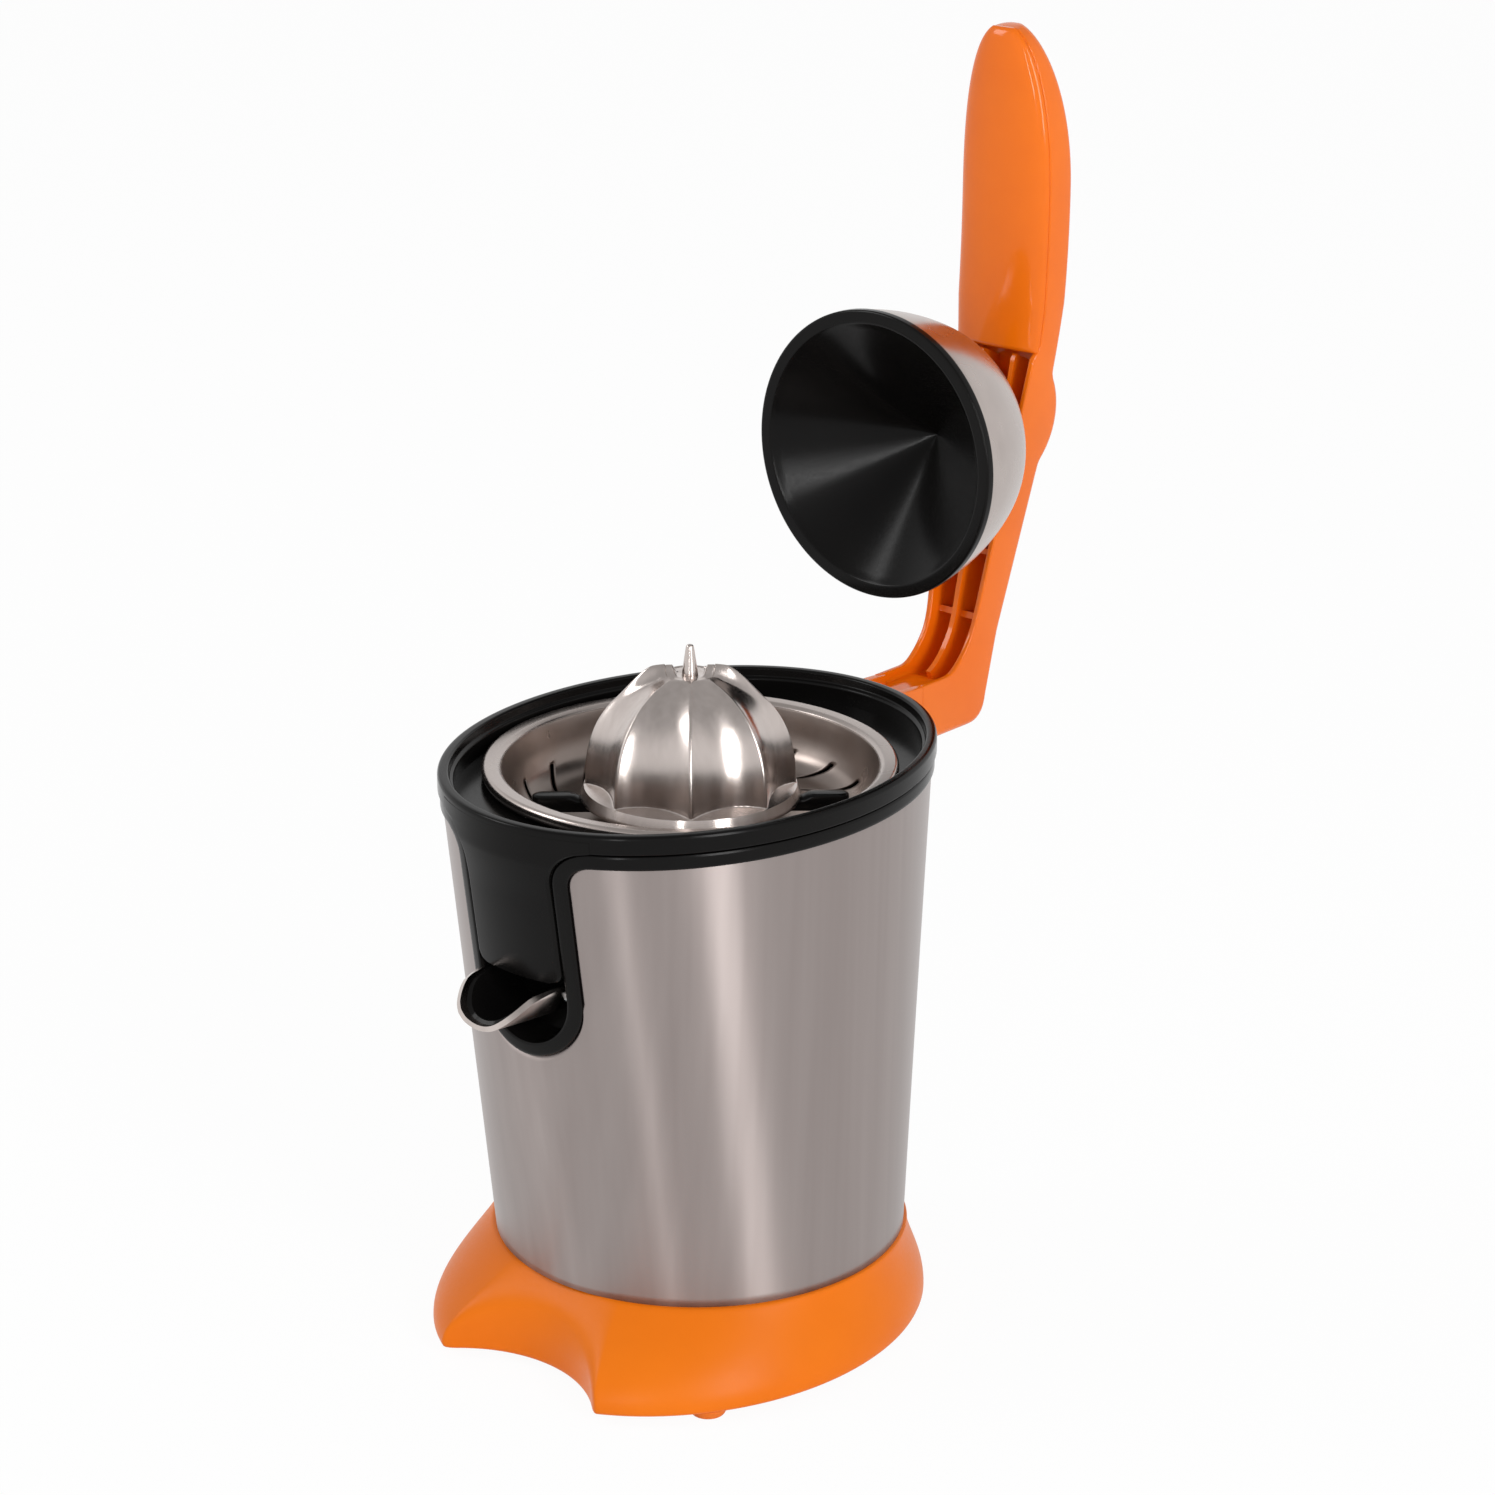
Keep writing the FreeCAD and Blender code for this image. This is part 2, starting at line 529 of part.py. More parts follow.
def body_pieces():
    """Brushed steel sleeve, fixed collar trim and the black juice collector with its front panel."""
    shell = cut("sleeve_shell", sleeve_form("sleeve_outside", 0),
                sleeve_form("sleeve_inside", -D.sleeve_wall))
    opening = front_arch("sleeve_opening", D.panel_half, D.panel_low, D.sleeve_top, D.panel_corner)
    hinge_window = box("hinge_window", (2 * D.tongue_half + 0.6, 30.0, 20.0),
                       (-(D.tongue_half + 0.3), D.sleeve_low_y, D.bracket_high - 9))
    node("body_sleeve", cut("sleeve", shell, opening, hinge_window))

    frame_half = D.panel_half - 0.2
    pocket_half = frame_half - D.trim_frame
    front_gate = box("front_gate", (2 * pocket_half, 40.0, 20.0), (-pocket_half, -120.0, D.sleeve_top - 10))
    rear_gate = box("rear_gate", (2 * D.tongue_half + 0.6, 30.0, 20.0),
                    (-(D.tongue_half + 0.3), D.sleeve_low_y, D.bracket_high - 9))
    band_outside = oval_block("band_outside", D.sleeve_high_x + D.trim_proud, D.sleeve_high_y + D.trim_proud,
                              D.sleeve_top, D.trim_top)
    band_inside = oval_block("band_inside", D.wall_x + 0.3, D.wall_y + 0.3, D.sleeve_top - 1, D.trim_top + 1)
    band = cut("trim_band", band_outside, band_inside, front_gate, rear_gate)
    frame = common("trim_front", sleeve_form("frame_outside", D.trim_proud),
                   front_arch("frame_arch", frame_half, D.panel_low + 0.2, D.sleeve_top + 5))
    frame = cut("trim_frame", frame, sleeve_form("frame_inside", -D.trim_depth, high=D.sleeve_top + 9))
    pocket = cut("trim_pocket",
                 front_arch("pocket_arch", pocket_half, D.panel_low + D.trim_frame, D.sleeve_top + 5),
                 sleeve_form("pocket_back", -(D.trim_depth - D.trim_back), high=D.sleeve_top + 9))
    duct_hole = box("duct_hole", (2 * (D.duct_half + D.duct_wall) + 0.6, 60.0, 11.0),
                    (-(D.duct_half + D.duct_wall + 0.3), -110.0, D.duct_floor - D.duct_wall - 0.3))
    tray_room = cylinder("tray_room", D.tray_radius + D.tray_wall + 0.3, 70.0, (0, 0, D.tray_floor - 4))
    wall_room = oval_block("wall_room", D.wall_x + 0.3, D.wall_y + 0.3,
                           D.deck_top - D.deck_thickness, D.trim_top + 1)
    pin_hole = cylinder("spout_pin_hole", D.spout_pin_radius, 60.0,
                        (-30, D.spout_pin_y, D.spout_pin_z), (0, 1, 0), 90)
    frame = cut("trim_frame_open", frame, pocket, duct_hole, tray_room, wall_room, pin_hole)
    seat_low = D.sleeve_top - D.seat_depth
    seat = cut("trim_seat",
               oval_block("seat_outside", D.wall_x + 1.2, D.wall_y + 1.1, seat_low, D.sleeve_top),
               oval_block("seat_inside", D.tray_radius + D.tray_wall + 0.7, D.wall_y - 7, seat_low - 1,
                          D.sleeve_top + 1),
               wall_room, front_gate, rear_gate)
    node("collar_trim", fuse("trim", band, seat, frame))

    rim = oval_block("rim_outside", D.rim_x, D.rim_y, D.rim_bottom, D.rim_top)
    wall = oval_block("wall_outside", D.wall_x, D.wall_y, D.deck_top - D.deck_thickness, D.rim_bottom)
    well = oval_block("wall_inside", D.rim_x - D.rim_band_x, D.rim_y - D.rim_band, D.deck_top, D.rim_top + 1)
    tray_top = D.deck_top - D.deck_thickness
    tray = turned("tray", [
        (D.tray_radius + D.tray_wall, tray_top), (D.tray_radius, tray_top),
        (D.tray_floor_radius, D.tray_floor), (D.chimney_bore + D.chimney_wall, D.tray_floor + D.tray_fall),
        (D.chimney_bore + D.chimney_wall, D.chimney_top), (D.chimney_bore, D.chimney_top),
        (D.chimney_bore, D.tray_floor + D.tray_fall - D.tray_wall),
        (D.tray_floor_radius, D.tray_floor - D.tray_wall), (D.tray_floor_radius + D.tray_wall, D.tray_floor),
    ])
    deck_hole = cylinder("deck_hole", D.tray_radius, 20.0, (0, 0, tray_top - 5))
    panel = common("panel_front", sleeve_form("panel_outside", D.trim_proud + 0.3, high=D.rim_bottom + 3),
                   box("panel_box", (2 * (pocket_half - D.panel_gap), 60.0, D.rim_bottom + 2 - D.hood_level),
                       (-(pocket_half - D.panel_gap), -120.0, D.hood_level)))
    panel = cut("panel", panel, sleeve_form("panel_inside", -D.panel_thickness, high=D.rim_bottom + 4))
    duct_high = D.tray_floor - D.duct_floor + D.duct_wall
    duct = box("duct_shell", (2 * (D.duct_half + D.duct_wall), D.duct_front - D.duct_back, duct_high),
               (-(D.duct_half + D.duct_wall), -D.duct_front, D.duct_floor - D.duct_wall))
    upper = cut("collector_upper", fuse("collector_ring", rim, wall, panel), well, deck_hole)
    outer_tray = fuse("collector_mass", upper, tray, duct)
    tray_air = turned("tray_air", [
        (D.tray_radius, tray_top), (D.tray_floor_radius, D.tray_floor),
        (D.chimney_bore + D.chimney_wall, D.tray_floor + D.tray_fall),
        (D.chimney_bore + D.chimney_wall, tray_top)])
    duct_air = box("duct_air", (2 * D.duct_half, D.duct_front - D.duct_back + 4, duct_high - 2 * D.duct_wall),
                   (-D.duct_half, -(D.duct_front + 6), D.duct_floor))
    drain = box("drain", (2 * D.duct_half, 10.0, 20.0),
                (-D.duct_half, -(D.tray_floor_radius - 3), D.duct_floor))
    node("juice_collector", cut("collector", outer_tray, tray_air, duct_air, drain))


def strainer_piece():
    """Steel strainer with a rolled rim, curved wall and a floor of swirled slots."""
    body = new_body("strainer")
    sheet_wall = D.bowl_sheet
    outline = Outline(new_sketch(body, "XZ_Plane"), D.bowl_bore, D.bowl_floor)
    outline.line(D.bowl_bore, D.bowl_floor - sheet_wall)
    outline.line(D.bowl_floor_radius - 2, D.bowl_floor - sheet_wall)
    outline.arc(D.bowl_mouth + 1.4 * sheet_wall, D.bowl_rim_level, D.bowl_sweep, 1)
    outline.line(D.bowl_mouth + 1.6 * sheet_wall, D.bowl_rim_level)
    outline.arc(D.bowl_rim, D.bowl_rim_level, D.bowl_roll, 1)
    outline.arc(D.bowl_mouth + 0.75 * sheet_wall, D.bowl_rim_level + sheet_wall, D.bowl_roll + 0.4, 1)
    outline.arc(D.bowl_floor_radius - 2, D.bowl_floor, D.bowl_sweep, -1)
    revolve(body, outline.close())
    slot = new_sketch(body, "XY_Plane")
    lean = D.slot_swirl * D.slot_width * 12
    outline = Outline(slot, D.slot_inner, 0)
    outline.arc(D.slot_outer, lean, 30.0, 1).line(D.slot_outer - D.slot_width * 0.5, lean + D.slot_width)
    outline.arc(D.slot_inner, D.slot_width, 30.0, -1)
    feature = pocket_through(body, outline.close())
    repeat_round(body, slot, feature, D.slot_count)
    node("strainer_bowl", body)


def star(body, radius, level):
    """One section of the reamer: sharp ridge points joined by shallow hollow arcs."""
    sketch = new_sketch(body, "XY_Plane", level)
    count = int(D.ridge_count.value)
    step = 2 * math.pi / count
    half = math.sin(step / 2)
    bow = D.flute_depth * radius
    reach = half * radius
    arc_radius = (reach * reach + bow * bow) / (2 * bow)
    turn = math.radians(D.ridge_phase.value)

    def point(index):
        angle = turn + index * step
        return radius * math.cos(angle), radius * math.sin(angle)

    outline = Outline(sketch, *point(0))
    for index in range(1, count + 1):
        outline.arc(*point(index), arc_radius, -1)
    return outline.close()


def reamer_pieces():
    """Fluted steel reamer with two raised fins, its centre pin, inner hub and strainer wiper."""
    level = D.reamer_level
    body = new_body("reamer")
    flange = round_outline(new_sketch(body, "XY_Plane", level), 0, 0, D.reamer_flange)
    pad(body, flange, D.reamer_lip)
    stages = [
        (D.reamer_foot, level + D.reamer_lip),
        (D.reamer_waist, level + D.reamer_waist_rise),
        (D.reamer_side, level + D.reamer_side_rise),
        (D.reamer_shoulder, level + D.reamer_shoulder_rise),
        (D.reamer_brow, level + D.reamer_brow_rise),
        (D.reamer_crown, level + D.reamer_crown_rise),
    ]
    sections = [star(body, *stage) for stage in stages]
    dome = body.newObject("PartDesign::AdditiveLoft", "Dome")
    dome.Profile = sections[0]
    dome.Sections = sections[1:]
    fin = new_body("fin")
    sketch = new_sketch(fin, "XZ_Plane")
    outline = Outline(sketch, D.fin_inner, level + D.fin_root)
    outline.line(D.fin_outer, level + D.fin_root).line(D.fin_shoulder, level + D.fin_shoulder_rise)
    outline.line(D.fin_peak, level + D.fin_rise).line(D.fin_inner, level + D.reamer_crown_rise)
    pad(fin, outline.close(), D.fin_thickness, symmetric=True)
    fins = []
    for half_turn in (0, 180):
        copy = doc.addObject("Part::Compound", "fin_place")
        copy.Links = [fin]
        fins.append(place(copy, (0, 0, 0), (0, 0, 1), 45 + D.ridge_phase.value + half_turn))
    cup = turned("reamer_hollow", [
        (0, level - 1), (D.reamer_cup, level - 1), (D.reamer_cup, level + D.reamer_cup_rise),
        (D.reamer_bore, level + D.reamer_bore_rise), (0, level + D.reamer_bore_rise)])
    pin_hole = cylinder("pin_hole", D.pin_shank, 20.0, (0, 0, level + D.reamer_bore_rise - 1))
    node("reamer_cone", cut("reamer_finished", fuse("reamer_body", body, *fins), cup, pin_hole))

    crown = level + D.reamer_crown_rise
    node("reamer_pin", turned("pin", [
        (0, level + D.pin_seat), (D.pin_shank, level + D.pin_seat), (D.pin_shank, crown), (D.pin_foot, crown),
        (D.pin_tip, level + D.pin_rise), (D.pin_tip * 0.55, level + D.pin_rise + D.pin_tip * 0.6),
        (0, level + D.pin_rise + D.pin_tip * 0.7)]))

    bore = D.spindle_radius + 0.02
    hub = turned("hub", [
        (bore, level), (D.hub_flange, level), (D.hub_flange, level + D.hub_flange_rise),
        (D.reamer_bore, level + D.hub_flange_rise), (D.reamer_bore - 0.4, level + D.hub_top),
        (0, level + D.hub_top), (0, D.spindle_top), (bore, D.spindle_top)])
    node("reamer_hub", hub)

    arm = slab("wiper_arm", "XZ_Plane", [
        (-D.wiper_reach, D.wiper_low), (D.wiper_reach, D.wiper_low), (D.wiper_reach, D.wiper_tip_high),
        (D.reamer_flange + 1, D.wiper_tip_high), (D.reamer_flange + 1, D.wiper_high),
        (-(D.reamer_flange + 1), D.wiper_high), (-(D.reamer_flange + 1), D.wiper_tip_high),
        (-D.wiper_reach, D.wiper_tip_high)], 2 * D.wiper_half)
    turned_arm = doc.addObject("Part::Compound", "wiper_turn")
    turned_arm.Links = [arm]
    place(turned_arm, (0, 0, 0), (0, 0, 1), 45 + D.ridge_phase.value)
    disc = cylinder("wiper_disc", 3 * D.spindle_radius + 3, D.reamer_level - D.wiper_high,
                    (0, 0, D.wiper_high))
    collar = cylinder("wiper_collar", D.bowl_bore - 2, D.wiper_high - D.wiper_low, (0, 0, D.wiper_low))
    bore_air = cylinder("wiper_bore", bore, 40.0, (0, 0, D.bowl_floor - 10))
    node("strainer_wiper", cut("wiper", fuse("wiper_body", turned_arm, disc, collar), bore_air))


def tooth_wheel(label, teeth, width, low, bore):
    """A spur wheel: a disc with straight-flanked tooth gaps cut round its edge."""
    body = new_body(label)
    pitch_radius = D.tooth_module * teeth / 2
    tip = pitch_radius + D.tooth_module * 0.9
    root = pitch_radius - D.tooth_module * 1.25
    disc = new_sketch(body, "XY_Plane", low)
    round_outline(disc, 0, 0, tip)
    round_outline(disc, 0, 0, bore)
    pad(body, disc, width)
    gap = D.tooth_module * math.pi / 4 + D.flank_slack / 2
    lean = math.tan(math.radians(20))
    outside = D.tooth_module * 1.4
    sketch = new_sketch(body, "XY_Plane", low)
    polygon(sketch, [
        (root, gap - D.tooth_module * 1.25 * lean), (pitch_radius + outside, gap + outside * lean),
        (pitch_radius + outside, -(gap + outside * lean)), (root, -(gap - D.tooth_module * 1.25 * lean))])
    repeat_round(body, sketch, pocket_through(body, sketch), teeth)
    return body


def drive_pieces():
    """Spindle with its bush, seal, press collar, spring and switch, and the two-stage gear train."""
    node("drive_spindle", turned("spindle", [
        (0, D.spindle_low), (D.spindle_radius, D.spindle_low), (D.spindle_radius, D.shoulder_low),
        (D.shoulder_radius, D.shoulder_low), (D.shoulder_radius, D.shoulder_low + D.shoulder_height),
        (D.spindle_radius, D.shoulder_low + D.shoulder_height), (D.spindle_radius, D.spindle_top),
        (0, D.spindle_top)]))
    run = D.spindle_radius + D.running_gap
    bush_low = D.tray_floor - D.tray_wall
    seal_low = D.chimney_top - D.seal_height
    node("spindle_bush", turned("bush", [
        (run, bush_low), (D.chimney_bore, bush_low), (D.chimney_bore, seal_low - 1), (run, seal_low - 1)]))
    node("shaft_seal", turned("seal", [
        (D.spindle_radius + D.seal_lip_gap, D.chimney_top - 1), (run + 1.5, seal_low),
        (D.chimney_bore, seal_low),
        (D.chimney_bore, D.chimney_top), (D.spindle_radius + D.seal_lip_gap, D.chimney_top)]))

    top = D.collar_low + D.collar_thickness
    node("thrust_collar", turned("collar", [
        (run, D.collar_low), (D.collar_radius, D.collar_low), (D.collar_radius, D.collar_low + 2),
        (D.shoulder_radius + 2, top), (run, top)]))
    coil = doc.addObject("Part::Helix", "spring_line")
    plate_top = D.upper_plate + D.upper_plate_thickness
    bind(coil, "Pitch", D.spring_pitch)
    bind(coil, "Height", D.collar_low - plate_top - 2.4 * D.spring_wire)
    bind(coil, "Radius", D.spring_radius)
    place(coil, (0, 0, plate_top + 1.2 * D.spring_wire))
    wire = doc.addObject("Part::Circle", "spring_wire")
    bind(wire, "Radius", D.spring_wire)
    place(wire, (D.spring_radius, 0, plate_top + 1.2 * D.spring_wire), (1, 0, 0), 90)
    spring = doc.addObject("Part::Sweep", "spring")
    spring.Sections = [wire]
    spring.Spine = coil
    spring.Solid = True
    spring.Frenet = True
    coil_place = doc.addObject("Part::Compound", "spring_place")
    coil_place.Links = [spring]
    node("press_spring", coil_place)

    case = box("switch_case", (D.switch_length, D.switch_width, D.switch_height),
               (D.switch_x - D.switch_length / 2, -D.switch_width / 2, plate_top))
    button = cylinder("switch_button", D.button_radius, D.button_rise,
                      (D.switch_x, 0, plate_top + D.switch_height))
    node("start_switch", fuse("switch", case, button))

    node("output_gear", tooth_wheel("output", D.wheel_teeth, D.wheel_width, D.output_low, D.spindle_radius))
    centre = (D.wheel_teeth + D.pinion_teeth) * D.tooth_module / 2 + D.mesh_slack
    # At this heading a gap of each wheel faces a tooth of its pinion.
    heading = 45.0
    axle_bore = D.idler_axle + D.running_gap
    idler_x = centre * math.cos(math.radians(heading))
    idler_y = centre * math.sin(math.radians(heading))

    pinion_top = D.upper_plate - D.running_gap * 8
    pinion = tooth_wheel("idler_pinion", D.pinion_teeth, pinion_top - D.idler_low, D.idler_low, axle_bore)
    wheel = tooth_wheel("idler_wheel", D.wheel_teeth, D.wheel_width, D.idler_low, axle_bore)
    idler = fuse("idler", pinion, wheel)
    place(idler, (idler_x, idler_y, 0))
    node("idler_gear", idler)
    node("idler_axle", cylinder("axle", D.idler_axle, plate_top - D.lower_plate,
                                (idler_x, idler_y, D.lower_plate)))

    node("motor_pinion", tooth_wheel("pinion", D.pinion_teeth, D.pinion_width, D.idler_low - 1,
                                     D.motor_shaft))
    return idler_x, idler_y


def motor_pieces(idler_x, idler_y):
    """Motor, fan, the two gear plates with their spacers, and the frame that stands on the base plate."""
    shell = D.motor_shell
    lower_top = D.lower_plate + D.lower_plate_thickness
    can = turned("can", [
        (D.motor_bearing, D.motor_low), (D.motor_radius, D.motor_low), (D.motor_radius, D.lower_plate),
        (D.motor_bearing, D.lower_plate), (D.motor_bearing, D.lower_plate - shell),
        (D.motor_radius - shell * 2, D.lower_plate - shell),
        (D.motor_radius - shell * 2, D.motor_low + shell),
        (D.motor_bearing, D.motor_low + shell)])
    node("motor_stator", turned("stator", [
        (D.stator_inner, D.rotor_low + 3), (D.motor_radius - shell * 2, D.rotor_low + 3),
        (D.motor_radius - shell * 2, D.rotor_high - 3), (D.stator_inner, D.rotor_high - 3)]))
    node("motor_bearings", fuse("bearings", *[
        turned("bearing", [(D.motor_shaft + D.running_gap, low), (D.motor_bearing, low),
                           (D.motor_bearing, low + shell), (D.motor_shaft + D.running_gap, low + shell)])
        for low in (D.motor_low, D.lower_plate - shell)]))
    node("motor_rotor", turned("rotor", [
        (0, D.shaft_low), (D.motor_shaft, D.shaft_low), (D.motor_shaft, D.rotor_low),
        (D.rotor_radius, D.rotor_low), (D.rotor_radius, D.rotor_high), (D.motor_shaft, D.rotor_high),
        (D.motor_shaft, D.idler_low + D.pinion_width),
        (0, D.idler_low + D.pinion_width)]))
    fan = new_body("fan")
    ring = new_sketch(fan, "XY_Plane", D.fan_low)
    round_outline(ring, 0, 0, D.fan_radius)
    round_outline(ring, 0, 0, D.motor_shaft)
    pad(fan, ring, D.fan_disc)
    blade = new_sketch(fan, "XY_Plane", D.fan_low)
    polygon(blade, [(D.fan_hub, 0), (D.fan_radius, 0), (D.fan_radius, D.blade_width),
                    (D.fan_hub, D.blade_width)])
    repeat_round(fan, blade, pad(fan, blade, D.blade_height), D.blade_count)
    node("cooling_fan", fan)

    lower = cylinder("lower_disc", D.plate_radius, D.lower_plate_thickness, (0, 0, D.lower_plate))
    shaft_hole = cylinder("shaft_hole", 2 * D.motor_shaft, 20.0, (0, 0, D.lower_plate - 5))
    axle_hole = cylinder("axle_hole", D.idler_axle, 60.0, (idler_x, idler_y, D.lower_plate - 5))
    corner = (D.motor_radius + D.motor_bearing) / 2 * math.sqrt(0.5)
    motor_spots = [(corner * x, corner * y) for x, y in four_corners(1, 1) if x * y < 0]
    motor_taps = [cylinder("motor_tap", D.small_screw, 12.0, (x, y, D.lower_plate - 6))
                  for x, y in motor_spots]
    node("lower_gear_plate", cut("lower", lower, shaft_hole, axle_hole, *motor_taps))
    node("motor_can", cut("can_tapped", can, *motor_taps))
    node("motor_screws", fuse("motor_screw_pair", *[
        screw("motor_screw", D.small_screw, D.lower_plate_thickness + 1.4, D.small_head, D.small_head_height,
              (x, y, lower_top)) for x, y in motor_spots]))
    upper = cylinder("upper_disc", D.plate_radius, D.upper_plate_thickness, (0, 0, D.upper_plate))
    spindle_hole = cylinder("spindle_hole", D.spindle_radius + D.running_gap, 20.0, (0, 0, D.upper_plate - 5))
    reach = D.plate_radius - D.pillar_radius
    spacer_spots = [(reach, as_size(0)), (-reach, as_size(0)), (as_size(0), reach), (as_size(0), -reach)]
    plate_top = D.upper_plate + D.upper_plate_thickness
    spacer_taps = [cylinder("spacer_tap", D.small_screw, 14.0, (x, y, plate_top - 12))
                   for x, y in spacer_spots]
    node("upper_gear_plate", cut("upper", upper, spindle_hole, axle_hole, *spacer_taps))
    node("plate_screws", fuse("plate_screw_set", *[
        screw("plate_screw", D.small_screw, 11.0, D.small_head, D.small_head_height, (x, y, plate_top))
        for x, y in spacer_spots]))
    spacers = [cylinder("spacer", D.pillar_radius - 1, D.upper_plate - lower_top, (x, y, lower_top))
               for x, y in spacer_spots]
    node("plate_spacers", cut("spacer_set", fuse("spacers", *spacers), *spacer_taps))

    turn = math.sqrt(0.5)
    spots = [(D.pillar_circle * turn * x, D.pillar_circle * turn * y) for x, y in four_corners(1, 1)]

    floor = D.foot_height + D.plate_thickness
    pillars = [cylinder("pillar", D.pillar_radius, D.lower_plate - floor, (x, y, floor)) for x, y in spots]
    ring_at = (0, D.base_top_centre)
    ring = cut("frame_ring",
               cylinder("ring_outer", D.ring_outer, D.ring_top - D.base_top, (*ring_at, D.base_top)),
               cylinder("ring_inner", D.ring_inner, 60.0, (*ring_at, D.base_top - 5)))
    column = common("column_fit",
                    box("hinge_column", (2 * D.bracket_half, D.column_back - D.column_front,
                                         D.bracket_low - D.base_top),
                        (-D.bracket_half, D.column_front, D.base_top)),
                    sleeve_form("column_room", -(D.sleeve_wall + 0.3)))
    bracket_y = (D.bracket_front + D.column_back) / 2
    taps = [cylinder("bracket_tap", D.small_screw, 12.0,
                     (D.bracket_half * 0.75 * side, bracket_y, D.bracket_low - 11))
            for side in (1, -1)]
    column = cut("column_tapped", column, *taps)
    screw_holes = [cylinder("pillar_bore", D.screw_radius + D.screw_clearance, 14.0, (x, y, floor - 1))
                   for x, y in spots]
    node("inner_frame", cut("frame", fuse("frame_body", ring, column, *pillars), *screw_holes))


def trough(label, inset, back, air=False):
    """The beak's U from its back to its lip; as air it is drawn in below too and stands open above."""
    lift = 6.0 if air else 0.0
    lower = inset if air else 0.0
    body = new_body(label)

    def section(y, half, top, bottom):
        half = half - inset
        spring = bottom + lower + half * 0.75
        outline = Outline(new_sketch(body, "XZ_Plane", -y), half, top + lift)
        outline.line(half * -1, top + lift).line(half * -1, spring)
        outline.arc(half, spring, half * D.spout_round, 1)
        return outline.close()

    shape = body.newObject("PartDesign::AdditiveLoft", "Trough")
    shape.Profile = section(back, D.spout_half_back, D.spout_top, D.spout_back_level)
    shape.Sections = [section(D.spout_lip, D.spout_half_front, D.spout_top, D.spout_lip_level)]
    return body


def mouth_cut(label, back):
    """The air in front of the beak: its mouth edge is an S in the side view, low at the lip."""
    body = new_body(label)
    low = D.spout_lip_level + 1.5
    start = D.spout_lip - 2 + back
    end = D.spout_front + back
    outline = Outline(new_sketch(body, "YZ_Plane"), start, low)
    outline.arc((start + end) / 2, (low + D.spout_top) / 2, D.spout_sweep, 1)
    outline.arc(end, D.spout_top, D.spout_sweep, -1)
    outline.line(end, D.spout_top + 9).line(D.spout_lip - 20, D.spout_top + 9).line(D.spout_lip - 20, low)
    pad(body, outline.close(), 60.0, symmetric=True)
    return body


def spout_pieces():
    """Drip-stop spout: a steel beak with a dark liner, hung on two stubs under the front panel."""
    pivot = (D.spout_pin_y, D.spout_pin_z)
    crosswise = ((0, 1, 0), 90)

    def bore(label):
        return cylinder(label, D.spout_pin_radius + D.running_gap, 60.0, (-30, *pivot), *crosswise)

    room = trough("spout_room", D.spout_sheet, D.spout_back, True)
    node("spout_shell", cut("spout_cut", trough("spout_outside", 0, D.spout_back), room,
                            mouth_cut("mouth_edge", 0), bore("spout_bore")))
    bed = common("liner_body", trough("liner_outside", D.spout_sheet, D.spout_back),
                 trough("liner_bed", D.spout_sheet, D.spout_back, True))
    inner = trough("liner_room", D.spout_sheet + D.liner_sheet, D.spout_back, True)
    node("spout_liner", cut("liner_cut", bed, inner, mouth_cut("liner_edge", D.spout_sheet),
                            bore("liner_bore")))
    stubs = [cylinder("pin_stub", D.spout_pin_radius, D.spout_pin_length, (x, *pivot), *crosswise)
             for x in (D.spout_pin_start, -(D.spout_pin_start + D.spout_pin_length))]
    node("spout_pins", fuse("pin_pair", *stubs))


def lever_outline(sketch, inset):
    """Side outline of the cranked lever, from the hinge eye round the grip and back."""
    i = as_size(inset)
    eye = D.eye_radius - i
    outline = Outline(sketch, D.hinge_y, D.hinge_z + eye)
    outline.line(D.foot_corner_y, D.foot_top)
    outline.arc(D.elbow_y + i, D.elbow_z, D.elbow_radius, 1)
    outline.line(D.grip_start_y + i, D.grip_start_z)
    outline.arc(D.grip_end_y + i, D.grip_end_z, D.grip_under_radius, 1)
    outline.line(D.tip_front_y + i, D.tip_front_z - i)
    outline.line(D.tip_back_y, D.tip_back_z - i)
    outline.arc(D.grip_back_y - i, D.grip_back_z, D.grip_tip_radius, -1)
    outline.arc(D.neck_y - i, D.neck_z, D.neck_radius, -1)
    outline.arc(D.boss_low_y - i, D.boss_low_z, D.boss_radius, -1)
    outline.line(D.heel_y - i, D.heel_z + i)
    outline.arc(D.heel_start_y, D.foot_bottom + i, D.heel_radius, -1)
    outline.line(D.hinge_y + 12, D.foot_bottom + i)
    outline.line(D.hinge_y, D.hinge_z - eye)
    outline.arc(D.hinge_y, D.hinge_z + eye, eye, -1)
    return outline.close()


def channel_outline(sketch):
    """Side outline of the channel's hollow: one wall inside the back, well past the open inner side."""
    wall = D.lever_wall
    ahead = D.channel_ahead
    outline = Outline(sketch, D.hinge_y + ahead, D.foot_top + ahead / 2)
    outline.line(D.foot_corner_y, D.foot_top + ahead / 2)
    outline.line(D.elbow_y - ahead, D.elbow_z).line(D.grip_start_y - ahead, D.grip_start_z)
    outline.line(D.grip_end_y - ahead / 2, D.grip_end_z)
    outline.line(D.tip_front_y + wall, D.tip_front_z - 1.6 * wall).line(D.tip_back_y, D.tip_back_z - wall)
    outline.arc(D.grip_back_y - wall, D.grip_back_z, D.grip_tip_radius, -1)
    outline.arc(D.neck_y - wall, D.neck_z, D.neck_radius, -1)
    outline.arc(D.boss_low_y - wall, D.boss_low_z, D.boss_radius, -1)
    outline.line(D.heel_y - wall, D.heel_z + wall)
    outline.arc(D.heel_start_y, D.foot_bottom + wall, D.heel_radius, -1)
    outline.line(D.hinge_y + ahead, D.foot_bottom + wall)
    return outline.close()


